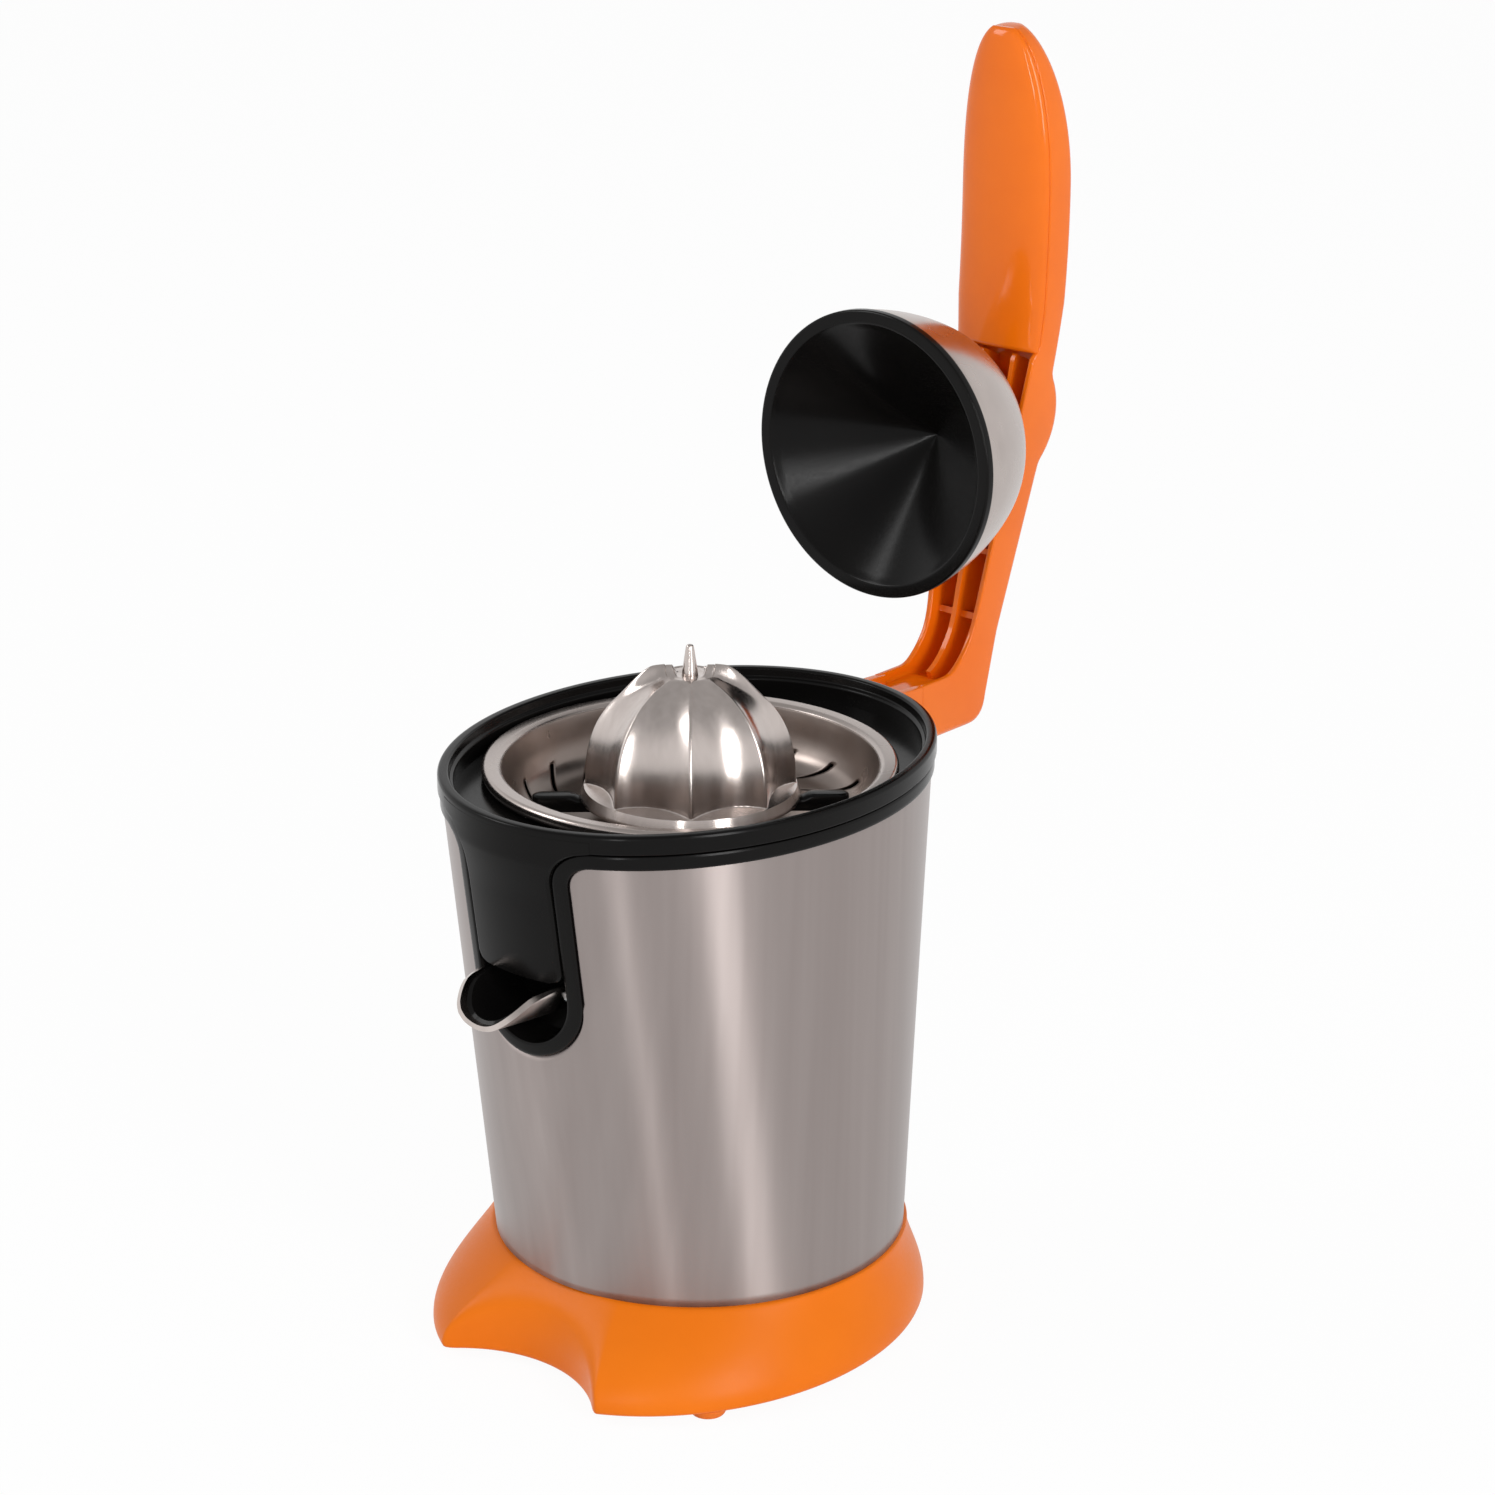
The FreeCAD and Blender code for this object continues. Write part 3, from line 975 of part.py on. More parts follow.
def lever_front(sketch, inset):
    """Front outline of the lever: a narrow shank that widens into a round-ended paddle."""
    i = as_size(inset)
    foot = D.foot_half - i
    grip = D.handle_half - i
    low = D.foot_bottom - 5
    outline = Outline(sketch, foot, low)
    outline.line(foot, D.taper_low).line(grip, D.taper_high).line(grip, D.paddle_high)
    outline.arc(D.tip_half - i, D.tip_level, D.paddle_radius - i, 1)
    outline.arc(i - D.tip_half, D.tip_level, D.tip_radius - i, 1)
    outline.arc(grip * -1, D.paddle_high, D.paddle_radius - i, 1)
    outline.line(grip * -1, D.taper_high).line(foot * -1, D.taper_low).line(foot * -1, low)
    return outline.close()


def lever_form(label, inset):
    side = new_body(f"{label}_side")
    pad(side, lever_outline(new_sketch(side, "YZ_Plane"), inset), 60.0, symmetric=True)
    front = new_body(f"{label}_front")
    pad(front, lever_front(new_sketch(front, "XZ_Plane", -(D.hinge_y + 45)), inset), 140.0, symmetric=True)
    return common(label, side, front)


def lever_pieces():
    """Hinge bracket and pin, channel-section lever with its ribs, and the grip's under cover."""
    hinge = (D.hinge_y, D.hinge_z)
    inside = D.bracket_front + 4
    neck = D.wall_y + 0.8
    tongue = slab("tongue_plate", "YZ_Plane", [
        (inside, D.bracket_low + 2), (D.bracket_back - 1, D.bracket_low + 2),
        (D.bracket_back - 0.5, D.bracket_high - 8), (D.sleeve_high_y, D.bracket_high - 8),
        (D.hinge_y, D.hinge_z - D.eye_radius + 1.2),
        (D.hinge_y, D.hinge_z + D.eye_radius - 2.6), (neck, D.hinge_z + D.eye_radius - 2.6),
        (neck, D.bracket_high), (inside, D.bracket_high)], 2 * D.tongue_half)
    eye = cylinder("tongue_eye", D.eye_radius - 1, 2 * D.tongue_half, (-D.tongue_half, *hinge), (0, 1, 0), 90)
    sole = box("bracket_sole", (2 * D.bracket_half, D.bracket_back - D.bracket_front - 1, 8.0),
               (-D.bracket_half, D.bracket_front, D.bracket_low))
    pin_bore = cylinder("pin_bore", D.hinge_pin, 60.0, (-30, *hinge), (0, 1, 0), 90)
    bracket_y = (D.bracket_front + D.column_back) / 2
    screw_x = D.bracket_half * 0.75
    sole_top = D.bracket_low + 8
    bores = [cylinder("sole_bore", D.small_screw, 20.0, (screw_x * side, bracket_y, D.bracket_low - 5))
             for side in (1, -1)]
    sinks = [cylinder("sole_sink", D.small_head + 0.1, 20.0, (screw_x * side, bracket_y, sole_top - 3))
             for side in (1, -1)]
    node("hinge_bracket", cut("bracket", fuse("bracket_body", tongue, eye, sole), pin_bore, *bores, *sinks))
    node("bracket_screws", fuse("bracket_screw_pair", *[
        screw("bracket_screw", D.small_screw, 14.0, D.small_head, D.small_head_height,
              (screw_x * side, bracket_y, sole_top - 3)) for side in (1, -1)]))
    node("hinge_pin", cylinder("lever_pin", D.hinge_pin, 2 * D.foot_half - 0.6,
                               (-(D.foot_half - 0.3), *hinge), (0, 1, 0), 90))

    outside = lever_form("lever_outside", 0)
    air_side = new_body("channel_side")
    pad(air_side, channel_outline(new_sketch(air_side, "YZ_Plane")), 60.0, symmetric=True)
    air_front = new_body("channel_front")
    pad(air_front, lever_front(new_sketch(air_front, "XZ_Plane", -(D.hinge_y + 45)), D.lever_wall), 140.0,
        symmetric=True)
    channel_air = common("channel_air", air_side, air_front)
    run_bore = cylinder("lever_bore", D.hinge_pin + D.running_gap, 60.0, (-30, *hinge), (0, 1, 0), 90)
    tongue_room = cylinder("tongue_room", D.eye_radius + 5, 2 * D.tongue_half + 1.2,
                           (-(D.tongue_half + 0.6), *hinge), (0, 1, 0), 90)
    channel = cut("lever_channel", outside, channel_air)
    ribs = [slab("long_rib", "YZ_Plane", [
        (D.hinge_y + 20, D.foot_bottom), (D.hinge_y + 60, D.foot_bottom), (D.grip_back_y, D.boss_low_z),
        (D.hinge_y + 60, D.boss_low_z), (D.hinge_y + 44, D.foot_top + 6), (D.hinge_y + 20, D.foot_top - 9)],
        D.rib_thickness)]
    rib_lean = 8.0
    for level in (228.0, 254.0, 280.0):
        ribs.append(slab("cross_rib", "YZ_Plane", [
            (D.hinge_y + 20, level), (D.grip_back_y, level - rib_lean),
            (D.grip_back_y, level - rib_lean + D.rib_thickness),
            (D.hinge_y + 20, level + D.rib_thickness)], 60.0))
    rib_mass = common("rib_fit", fuse("rib_set", *ribs), lever_form("rib_room", D.lever_wall * 0.5))
    crown_y = D.press_face + D.crown_depth
    along = ((1, 0, 0), -90)
    boss = cylinder("stud_boss", D.hub_radius - 2, D.stud_seat + 5 - crown_y,
                    (0, crown_y, D.press_level), *along)
    stud_hole = cylinder("stud_hole", D.stud_radius + 0.05, 60.0,
                         (0, D.press_face + 40, D.press_level), *along)
    stud_sink = cylinder("stud_sink", D.cap_radius + 0.05, 40.0, (0, D.stud_seat, D.press_level), *along)
    node("lever_arm", cut("lever", fuse("lever_body", channel, rib_mass, boss),
                          run_bore, tongue_room, stud_hole, stud_sink))
    node("dome_screw", screw("stud", D.stud_radius, D.stud_seat - crown_y + 12, D.stud_head,
                             D.stud_head_height, (0, D.stud_seat, D.press_level), *along))
    cap_at = D.stud_seat + D.stud_head_height
    node("boss_cap", cylinder("cap", D.cap_radius, D.cap_thickness, (0, cap_at, D.press_level), *along))

    strip = new_body("cover_side")
    outline = Outline(new_sketch(strip, "YZ_Plane"), D.grip_start_y, D.grip_start_z)
    outline.arc(D.grip_end_y, D.grip_end_z, D.grip_under_radius, 1)
    outline.line(D.tip_front_y, D.tip_front_z)
    outline.arc(D.grip_start_y - D.cover_crown, D.grip_start_z, D.cover_radius, -1)
    pad(strip, outline.close(), 60.0, symmetric=True)
    cover_front = new_body("cover_front")
    plan = new_sketch(cover_front, "XZ_Plane", -(D.hinge_y + 45))
    pad(cover_front, lever_front(plan, D.cover_inset), 140.0, symmetric=True)
    node("handle_cover", common("cover", strip, cover_front))


def press_pieces():
    """Press cone: steel dome with a stepped crown, dark inner cone, hub and the stud to the lever."""
    def across(label, corners):
        """A piece of revolution about the cone's own axis, from (radius, depth behind the rim)."""
        body = turned(label, corners)
        return place(body, (0, D.press_face, D.press_level), (1, 0, 0), -90)

    lip = D.press_lip
    wall = D.liner_wall
    node("press_liner", across("liner", [
        (D.press_mouth, 0), (D.press_rim, 0), (D.press_rim, lip), (D.press_rim - 2, lip),
        (D.press_mouth + 1, lip + 1.5),
        (0, D.press_depth + wall * 1.3), (0, D.press_depth)]))
    thin = D.dome_wall
    dome = new_body("dome")
    outline = Outline(new_sketch(dome, "XZ_Plane"), D.press_rim - 0.6, lip)
    outline.arc(D.dome_shoulder, D.dome_shoulder_depth, 95.0, 1)
    outline.arc(D.dome_crown, D.dome_crown_depth, 40.0, 1)
    outline.line(D.dome_crown, D.dome_crown_depth + D.crown_step)
    outline.arc(D.crown_top, D.crown_depth, 9.0, 1).line(D.stud_radius + 0.05, D.crown_depth)
    outline.line(D.stud_radius + 0.05, D.crown_depth - thin).line(D.crown_top - 0.5, D.crown_depth - thin)
    outline.arc(D.dome_crown - thin, D.dome_crown_depth + D.crown_step - 0.3, 8.0, -1)
    outline.line(D.dome_crown - thin, D.dome_crown_depth - thin)
    outline.arc(D.dome_shoulder - thin, D.dome_shoulder_depth - 0.3, 39.0, -1)
    outline.arc(D.press_rim - 0.6 - thin, lip, 94.0, -1)
    revolve(dome, outline.close())
    node("press_dome", place(dome, (0, D.press_face, D.press_level), (1, 0, 0), -90))
    top = D.crown_depth - thin
    node("dome_hub", across("hub_block", [
        (0, D.press_depth + wall * 1.3), (4, D.press_depth + wall * 1.3), (D.hub_radius, top - 6),
        (D.hub_radius, top),
        (D.stud_radius, top), (D.stud_radius, top - 12), (0, top - 12)]))


base_pieces()
body_pieces()
strainer_piece()
reamer_pieces()
motor_pieces(*drive_pieces())
spout_pieces()
lever_pieces()
press_pieces()

doc.recompute()

broken = [item.Label for item in doc.Objects if {"Invalid", "Error"} & set(item.State)]
if broken:
    raise RuntimeError(f"features failed: {broken}")
poor = [label for label, piece in NODES.items() if piece.Shape.isNull() or not piece.Shape.isValid()]
if poor:
    raise RuntimeError(f"shapes are not valid: {poor}")

os.makedirs("parts", exist_ok=True)
for label, piece in NODES.items():
    piece.Shape.exportStep(f"parts/{label}.step")
print(len(NODES), "nodes written")
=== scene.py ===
# %% [markdown]
# # A lever citrus press
# An electric press: half a fruit goes on the fluted reamer, the lever brings the press cone down on it, and
# the weight of the hand starts the motor. The juice runs through the strainer bowl into the black collector
# and out of the spout into a glass that stands in the notch of the base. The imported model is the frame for
# everything here, so each new surface is drawn in the same place and rides on the same body.

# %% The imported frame
import json
import math

import bmesh
import bpy
import numpy as np
from mathutils import Matrix


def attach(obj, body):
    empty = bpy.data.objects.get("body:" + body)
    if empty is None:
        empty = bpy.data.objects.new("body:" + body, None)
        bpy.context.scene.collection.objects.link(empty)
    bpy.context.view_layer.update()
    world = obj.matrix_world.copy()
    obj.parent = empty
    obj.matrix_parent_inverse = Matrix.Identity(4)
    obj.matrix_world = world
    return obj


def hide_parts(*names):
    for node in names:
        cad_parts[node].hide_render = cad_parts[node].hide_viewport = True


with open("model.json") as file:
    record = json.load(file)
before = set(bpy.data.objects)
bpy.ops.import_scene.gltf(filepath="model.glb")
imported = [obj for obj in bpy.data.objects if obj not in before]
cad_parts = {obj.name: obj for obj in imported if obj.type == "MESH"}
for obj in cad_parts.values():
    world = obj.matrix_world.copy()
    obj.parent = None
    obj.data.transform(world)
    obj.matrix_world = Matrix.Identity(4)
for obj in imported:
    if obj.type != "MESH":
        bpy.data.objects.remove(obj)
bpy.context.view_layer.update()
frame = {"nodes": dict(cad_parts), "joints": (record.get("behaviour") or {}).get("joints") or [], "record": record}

joints = {joint["name"]: joint for joint in frame["joints"]}

# %% [markdown]
# All sizes below are millimetres measured from the reamer's axis and the table, because the drawing of such
# a press starts from that axis: +X is the right-hand side, -Y the side of the glass. The axis itself comes
# from the joint that turns the reamer, and the hinge from the joint that swings the lever.

# %% Places taken from the frame
AXIS_Y = joints["reamer_spin"]["pos_m"][1] * 1000
HINGE_Y = joints["lever_hinge"]["pos_m"][1] * 1000 - AXIS_Y
HINGE_Z = joints["lever_hinge"]["pos_m"][2] * 1000


def to_frame(points):
    """Millimetres from the reamer's axis become the frame's metres."""
    return (np.asarray(points) + (0.0, AXIS_Y, 0.0)) / 1000.0


print("hinge at", round(HINGE_Y, 2), round(HINGE_Z, 2), "mm from the reamer's axis")

# %% [markdown]
# Every finish is made of a few shader nodes. One function adds a node with its settings and links, and one
# turns a written colour into the linear numbers that a shader needs.

# %% Node and colour helpers
def linear(hex_colour):
    """The linear colour of an sRGB hex colour: each channel undoes the sRGB curve."""
    channels = np.array([int(hex_colour[i:i + 2], 16) for i in (1, 3, 5)]) / 255
    curve = np.where(channels <= 0.04045, channels / 12.92, ((channels + 0.055) / 1.055) ** 2.4)
    return (*curve.tolist(), 1.0)


def add(tree, kind, settings=None, inputs=None):
    """Add a node of one kind; an input given as a socket is linked, and any other is set as a value."""
    made = tree.nodes.new(kind)
    for key, value in (settings or {}).items():
        setattr(made, key, value)
    for key, value in (inputs or {}).items():
        if isinstance(value, bpy.types.NodeSocket):
            tree.links.new(value, made.inputs[key])
        else:
            made.inputs[key].default_value = value
    return made


def start_material(name):
    """An empty material: its node tree, and Object coordinates in metres."""
    material = bpy.data.materials.new(name)
    material.use_nodes = True
    tree = material.node_tree
    tree.nodes.clear()
    where = add(tree, "ShaderNodeTexCoord").outputs["Object"]
    return material, tree, where


def grain(tree, where, period, stretch=(1, 1, 1), detail=3.0):
    """Noise whose period is in millimetres, drawn out along an axis by a stretch above 1."""
    scale = [1000 / (period * along) for along in stretch]
    place = add(tree, "ShaderNodeMapping", inputs={"Vector": where, "Scale": scale})
    noise = add(tree, "ShaderNodeTexNoise", inputs={
        "Vector": place.outputs["Vector"], "Scale": 1.0, "Detail": detail, "Roughness": 0.55})
    return noise.outputs["Fac"]


def between(tree, amount, low, high):
    """A noise amount from 0.3 to 0.7 becomes a value from low to high."""
    return add(tree, "ShaderNodeMapRange", inputs={
        "Value": amount, "From Min": 0.3, "From Max": 0.7, "To Min": low, "To Max": high}).outputs["Result"]


def blend_colours(tree, amount, first, second):
    """Two colours mixed by a noise amount."""
    return add(tree, "ShaderNodeMix", {"data_type": "RGBA"}, {
        0: between(tree, amount, 0.0, 1.0), 6: linear(first), 7: linear(second)}).outputs[2]


def finish_material(tree, inputs, height, depth):
    """The Principled surface of a material; a height from 0 to 1 becomes a bump of a depth in millimetres."""
    surface = add(tree, "ShaderNodeBsdfPrincipled", inputs=inputs)
    if depth:
        bump = add(tree, "ShaderNodeBump", inputs={
            "Height": height, "Strength": 1.0, "Distance": depth / 1000})
        tree.links.new(bump.outputs["Normal"], surface.inputs["Normal"])
    add(tree, "ShaderNodeOutputMaterial", inputs={"Surface": surface.outputs["BSDF"]})


# %% [markdown]
# The orange base and lever are injection-moulded ABS, coloured through. The lever comes from a polished
# mould and is glossy, with a very slight waviness; the base comes from a finely blasted mould and is satin.
# The black mouldings are the same plastic with carbon black, and they mirror less than the orange ones.

# %% Moulded plastics
def moulded(name, light, dark, gloss, dull, mirror=0.5, wave=0.004):
    """Moulding: the colour drifts slowly, and a fine shallow wave varies the gloss and bends reflections."""
    material, tree, where = start_material(name)
    drift = grain(tree, where, 45.0)
    fine = grain(tree, where, 1.2, detail=2.0)
    finish_material(tree, {
        "Base Color": blend_colours(tree, drift, dark, light),
        "Roughness": between(tree, fine, gloss, dull),
        "IOR": 1.53,
        "Specular IOR Level": mirror,
    }, fine, wave)
    return material


# Injection moulded in a polished mould and coloured through.
ORANGE = moulded("orange_ABS", "#EE720C", "#E86B08", 0.09, 0.13, 0.27, 0.0004)
# The same plastic from a blasted mould, whose fine texture spreads the reflections.
SATIN_ORANGE = moulded("satin_orange_ABS", "#E8750B", "#E26F06", 0.34, 0.42, 0.16, 0.004)
# The same plastic with carbon black, from a high-gloss mould.
BLACK = moulded("black_ABS", "#100F0E", "#0C0B0B", 0.15, 0.21, 0.1, 0.001)
# Soft moulding from an eroded mould, so it stays matt.
DARK = moulded("black_polypropylene", "#1C1B1A", "#151413", 0.34, 0.46, 0.2)
# Glass-filled moulding whose fibres roughen the skin.
GREY = moulded("grey_glass_filled_nylon", "#84868A", "#777A7D", 0.45, 0.6, 0.5, 0.05)
# Machined and moulded acetal, waxy and half bright.
WHITE = moulded("white_acetal", "#E9E7E0", "#DFDCD3", 0.35, 0.45)

# %% [markdown]
# The steels. The sleeve is rolled from brushed sheet: an abrasive belt ran round it and left fine scratches
# along the sheet, far finer than a pixel. They spread each reflection up and down, so the sheet shows
# upright bands; the same happens on the reamer, which is finished on a lathe. The surface is therefore
# rougher along the upright direction. The bowl's lip and the press cone are tumbled to an even satin.

# %% Stainless steels
def steel(name, light, dark, low, high, period, stretch=(1, 1, 1), depth=0.0, spread=0.0):
    """Stainless steel: streaks along the stretch vary it slightly; a spread draws reflections out upright."""
    material, tree, where = start_material(name)
    streaks = grain(tree, where, period, stretch, detail=2.0)
    upright = add(tree, "ShaderNodeCombineXYZ", inputs={"X": 0.02, "Y": 0.03, "Z": 1.0})
    finish_material(tree, {
        "Metallic": 1.0,
        "Base Color": blend_colours(tree, streaks, dark, light),
        "Roughness": between(tree, streaks, low, high),
        "Anisotropic": spread,
        "Tangent": upright.outputs["Vector"],
    }, streaks, depth)
    return material


# Belt-brushed round the sheet before it is rolled.
BRUSHED = steel("brushed_stainless", "#A29895", "#988E8B", 0.33, 0.37, 9.0, (1, 1, 40), spread=0.95)
# Pressed or spun, then tumbled with ceramic chips.
SATIN = steel("satin_stainless", "#B9AFAA", "#B1A7A2", 0.24, 0.29, 14.0)
# The bowl's inside is the same steel, a little rougher and painted darker: the darker colour is painted shade
# inside the bowl.
SHADED_BOWL_STEEL = steel("shaded_bowl_stainless", "#978C86", "#8A7F79", 0.27, 0.33, 14.0)
# Finished on a lathe with fine emery, then buffed.
POLISHED = steel("polished_stainless", "#CBC1BC", "#C1B7B2", 0.20, 0.25, 4.0, (1, 1, 20), spread=0.75)
# Barrel plated and passivated.
ZINC = steel("zinc_plated_steel", "#B9BDBF", "#A7ABAC", 0.30, 0.42, 3.0, depth=0.01)

# %% [markdown]
# The inner workings are seen only when the press is taken apart: laminated motor iron with its varnish, a
# sintered bronze bush with oil-filled pores, and the rubber of the seal, the gland and the feet.

# %% Iron, bronze and rubber
def grainy(name, light, dark, low, high, period, metal, mirror):
    """Cast, sintered or moulded stuff: one fine grain in colour, roughness and height."""
    material, tree, where = start_material(name)
    pores = grain(tree, where, period)
    finish_material(tree, {
        "Metallic": metal,
        "Base Color": blend_colours(tree, pores, dark, light),
        "Roughness": between(tree, pores, low, high),
        "Specular IOR Level": mirror,
    }, pores, 0.02)
    return material


# Stacked laminations under a coat of varnish.
IRON = grainy("varnished_motor_iron", "#6B6661", "#55514D", 0.4, 0.55, 1.5, 1.0, 0.5)
# Pressed powder, sintered and soaked in oil.
BRONZE = grainy("sintered_bronze", "#B08A55", "#94713F", 0.35, 0.5, 0.6, 1.0, 0.5)
# Press-moulded silicone, coloured through, with a faint bloom.
ORANGE_RUBBER = grainy("orange_silicone_rubber", "#E67A22", "#DC6E18", 0.5, 0.7, 0.9, 0.0, 0.3)
# Press-moulded nitrile rubber with carbon black.
BLACK_RUBBER = grainy("black_nitrile_rubber", "#201F1E", "#181717", 0.55, 0.75, 0.9, 0.0, 0.3)
FINISHES = {
    "orange_plastic": ORANGE, "black_plastic": BLACK, "dark_plastic": DARK, "grey_plastic": GREY,
    "white_plastic": WHITE, "brushed_steel": BRUSHED, "polished_steel": POLISHED, "zinc_steel": ZINC,
    "motor_iron": IRON, "bronze": BRONZE, "rubber": ORANGE_RUBBER, "black_rubber": BLACK_RUBBER}
print("finishes for the packed nodes:", len(FINISHES))

# %% [markdown]
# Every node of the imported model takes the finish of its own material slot. Those that stay in view are
# mostly the drive inside the body.

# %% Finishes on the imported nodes
for part in frame["record"]["subparts"]:
    shown = frame["nodes"][part["node"]]
    shown.data.materials.clear()
    shown.data.materials.append(FINISHES[part["material_slot"]])

# %% [markdown]
# A piece is one or more grids of points. Neighbouring grids share their edges, so the doubles are merged,
# the faces are turned outwards, and edges sharper than a given angle stay sharp in the shading.

# %% Mesh helpers
def xyz(x, y, z):
    """Points from three coordinates, each stretched to their common shape."""
    return np.stack(np.broadcast_arrays(x, y, z), -1)


def patch(points, wrap_u=False, wrap_v=False):
    """Corners and quads of a grid of points; wrapping joins its last row or column to its first."""
    rows, columns = points.shape[:2]
    u = np.arange(rows if wrap_u else rows - 1)
    v = np.arange(columns if wrap_v else columns - 1)
    u, v = np.meshgrid(u, v, indexing="ij")
    over, right = (u + 1) % rows, (v + 1) % columns
    quads = np.stack([u * columns + v, over * columns + v, over * columns + right, u * columns + right], -1)
    return points.reshape(-1, 3), quads.reshape(-1, 4)


def lid(ring):
    """A face over a ring of points: its two halves are laced together across the middle."""
    half = len(ring) // 2
    return patch(np.stack([ring[:half], ring[::-1][:half]]))


def capped(rings):
    """A tube through rings of points, with a face over each end."""
    return [patch(rings, wrap_v=True), lid(rings[0]), lid(rings[-1])]


def shell_between(outer, inner):
    """A closed wall between two sheets of the same grid."""
    loops = [np.concatenate([sheet[:, 0], sheet[-1, 1:], sheet[-2::-1, -1], sheet[0, -2:0:-1]])
             for sheet in (outer, inner)]
    return [patch(outer), patch(inner[::-1]), patch(np.stack(loops), wrap_v=True)]


def put(name, data):
    """A new object in the scene."""
    made = bpy.data.objects.new(name, data)
    bpy.context.scene.collection.objects.link(made)
    return made


def make_piece(name, patches, material, body, node, sharp=32.0, wall=0.0):
    """A finished piece from its patches; a wall thickens an open sheet towards its inner side."""
    corners, quads, start = [], [], 0
    for points, faces in patches:
        corners.append(points)
        quads.append(faces + start)
        start += len(points)
    mesh = bpy.data.meshes.new(name)
    mesh.from_pydata(to_frame(np.concatenate(corners)).tolist(), [], np.concatenate(quads).tolist())
    work = bmesh.new()
    work.from_mesh(mesh)
    bmesh.ops.remove_doubles(work, verts=work.verts, dist=2e-6)
    bmesh.ops.dissolve_degenerate(work, edges=work.edges, dist=1e-7)
    bmesh.ops.recalc_face_normals(work, faces=work.faces)
    work.to_mesh(mesh)
    work.free()
    mesh.shade_smooth()
    mesh.set_sharp_from_angle(angle=math.radians(sharp))
    mesh.materials.append(material)
    piece = put(name, mesh)
    if wall:
        thick = piece.modifiers.new("wall", "SOLIDIFY")
        thick.thickness = wall / 1000
        thick.offset = -1.0
    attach(piece, body)
    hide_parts(node)
    print(name, "has", len(mesh.polygons), "faces")


def steps(*stops):
    """Numbers in order from (value, count) pairs: each count spreads evenly from the value before it."""
    runs = [np.array([stops[0]])]
    for value, count in stops[1:]:
        runs.append(np.linspace(runs[-1][-1], value, count + 1)[1:])
    return np.concatenate(runs)


def smooth_step(low, high, value):
    """0 below low and 1 above high, with a smooth S between them."""
    part = np.clip((value - low) / (high - low), 0, 1)
    return part * part * (3 - 2 * part)


def smooth_min(first, second, blend):
    """The smaller of two fields, rounded over where they differ by less than the blend."""
    part = np.clip(0.5 + 0.5 * (second - first) / blend, 0, 1)
    return second + (first - second) * part - blend * part * (1 - part)


def arc(start, end, radius, count):
    """Points of an arc that turns left from start to end, in a plane."""
    start, end = np.array(start, float), np.array(end, float)
    chord = end - start
    reach = np.hypot(*chord)
    left = np.array([-chord[1], chord[0]]) / reach
    centre = (start + end) / 2 + left * math.sqrt(radius ** 2 - reach ** 2 / 4)
    first = math.atan2(*(start - centre)[::-1])
    sweep = 2 * math.asin(reach / 2 / radius)
    angles = first + np.linspace(0, sweep, count + 1)
    return centre + radius * np.stack([np.cos(angles), np.sin(angles)], -1)


def once_round(sides):
    """Even angles once round."""
    return np.linspace(0, 2 * math.pi, sides, endpoint=False)


def turned(profile, angles):
    """A surface of revolution about the upright axis: each profile point (radius, height) goes round."""
    radius, height = np.asarray(profile, float).T[..., None]
    return xyz(radius * np.cos(angles), radius * np.sin(angles), height)


def turned_back(profile, centre_y, level, sides):
    """A surface of revolution about an axis that points to the back: (radius, distance behind the centre)."""
    x, z, back = np.moveaxis(turned(profile, once_round(sides)), -1, 0)
    return xyz(x, centre_y + back, level + z)


def rounded(points, radius, count=6):
    """A path whose inner corners are rounded by quadratic curves that start a radius from each corner."""
    points = np.asarray(points, float)
    corners = points[1:-1]
    ways = points[:-2] - corners, points[2:] - corners
    lengths = [np.linalg.norm(way, axis=1, keepdims=True) for way in ways]
    reach = np.minimum(radius, 0.45 * np.minimum(*lengths))
    ends = [corners + way / length * reach for way, length in zip(ways, lengths)]
    t = np.linspace(0, 1, count + 1)[:, None]
    runs = [(1 - t) ** 2 * a + 2 * t * (1 - t) * p + t ** 2 * b for a, p, b in zip(ends[0], corners, ends[1])]
    return np.concatenate([points[:1], *runs, points[-1:]])


# %% [markdown]
# The base is one moulding with two lobes that reach forward round the glass. In plan it is an oval less a
# round notch; a smooth minimum of the two distances from the middle gives the rounded lobe tips, and the
# oval draws in towards the sleeve as it rises.

# %% Base
BASE_LEVELS = np.array([3.5, 13.0, 24.0, 33.5])
BASE_HALF_X = np.array([85.0, 83.5, 79.0, 75.8])
BASE_HALF_Y = np.array([95.5, 93.5, 84.5, 76.3])
BASE_CENTRE = np.array([-7.0, -6.0, -1.8, 4.0])
BASE_HOLLOW = ((33.5, 70.2, 70.6, 4.0), (32.0, 70.0, 70.4, 4.2), (4.0, 75.6, 76.8, 8.5),
               (3.5, 75.8, 77.0, 8.5))
NOTCH_CENTRE = -129.0
NOTCH_RADIUS = 51.0
NOTCH_FLARE = 6.0
NOTCH_STRAIGHT = 12.0
NOTCH_ANGLE = 0.3
LOBE_ANGLE = 0.62
BASE_MIDDLE = -5.0
LOBE_ROUND = 4.0
LOBE_SOFTER = 12.0


def oval_reach(angles, half_x, half_y, centre):
    """Distance from the base's middle to an oval along each angle: the far root of the ray's quadratic."""
    across, along = np.cos(angles), np.sin(angles)
    start = BASE_MIDDLE - centre
    a = (across / half_x) ** 2 + (along / half_y) ** 2
    b = start * along / half_y ** 2
    c = (start / half_y) ** 2 - 1
    return (-b + np.sqrt(b * b - a * c)) / a


def notch_reach(angles, radius):
    """Distance to the near side of the glass notch; rays that miss it get a large number."""
    offset = BASE_MIDDLE - NOTCH_CENTRE
    along = -offset * np.sin(angles)
    room = radius ** 2 - (offset * np.cos(angles)) ** 2
    near = along - np.sqrt(np.maximum(room, 0))
    return np.where((room > 0) & (along > 0), near, 400.0)


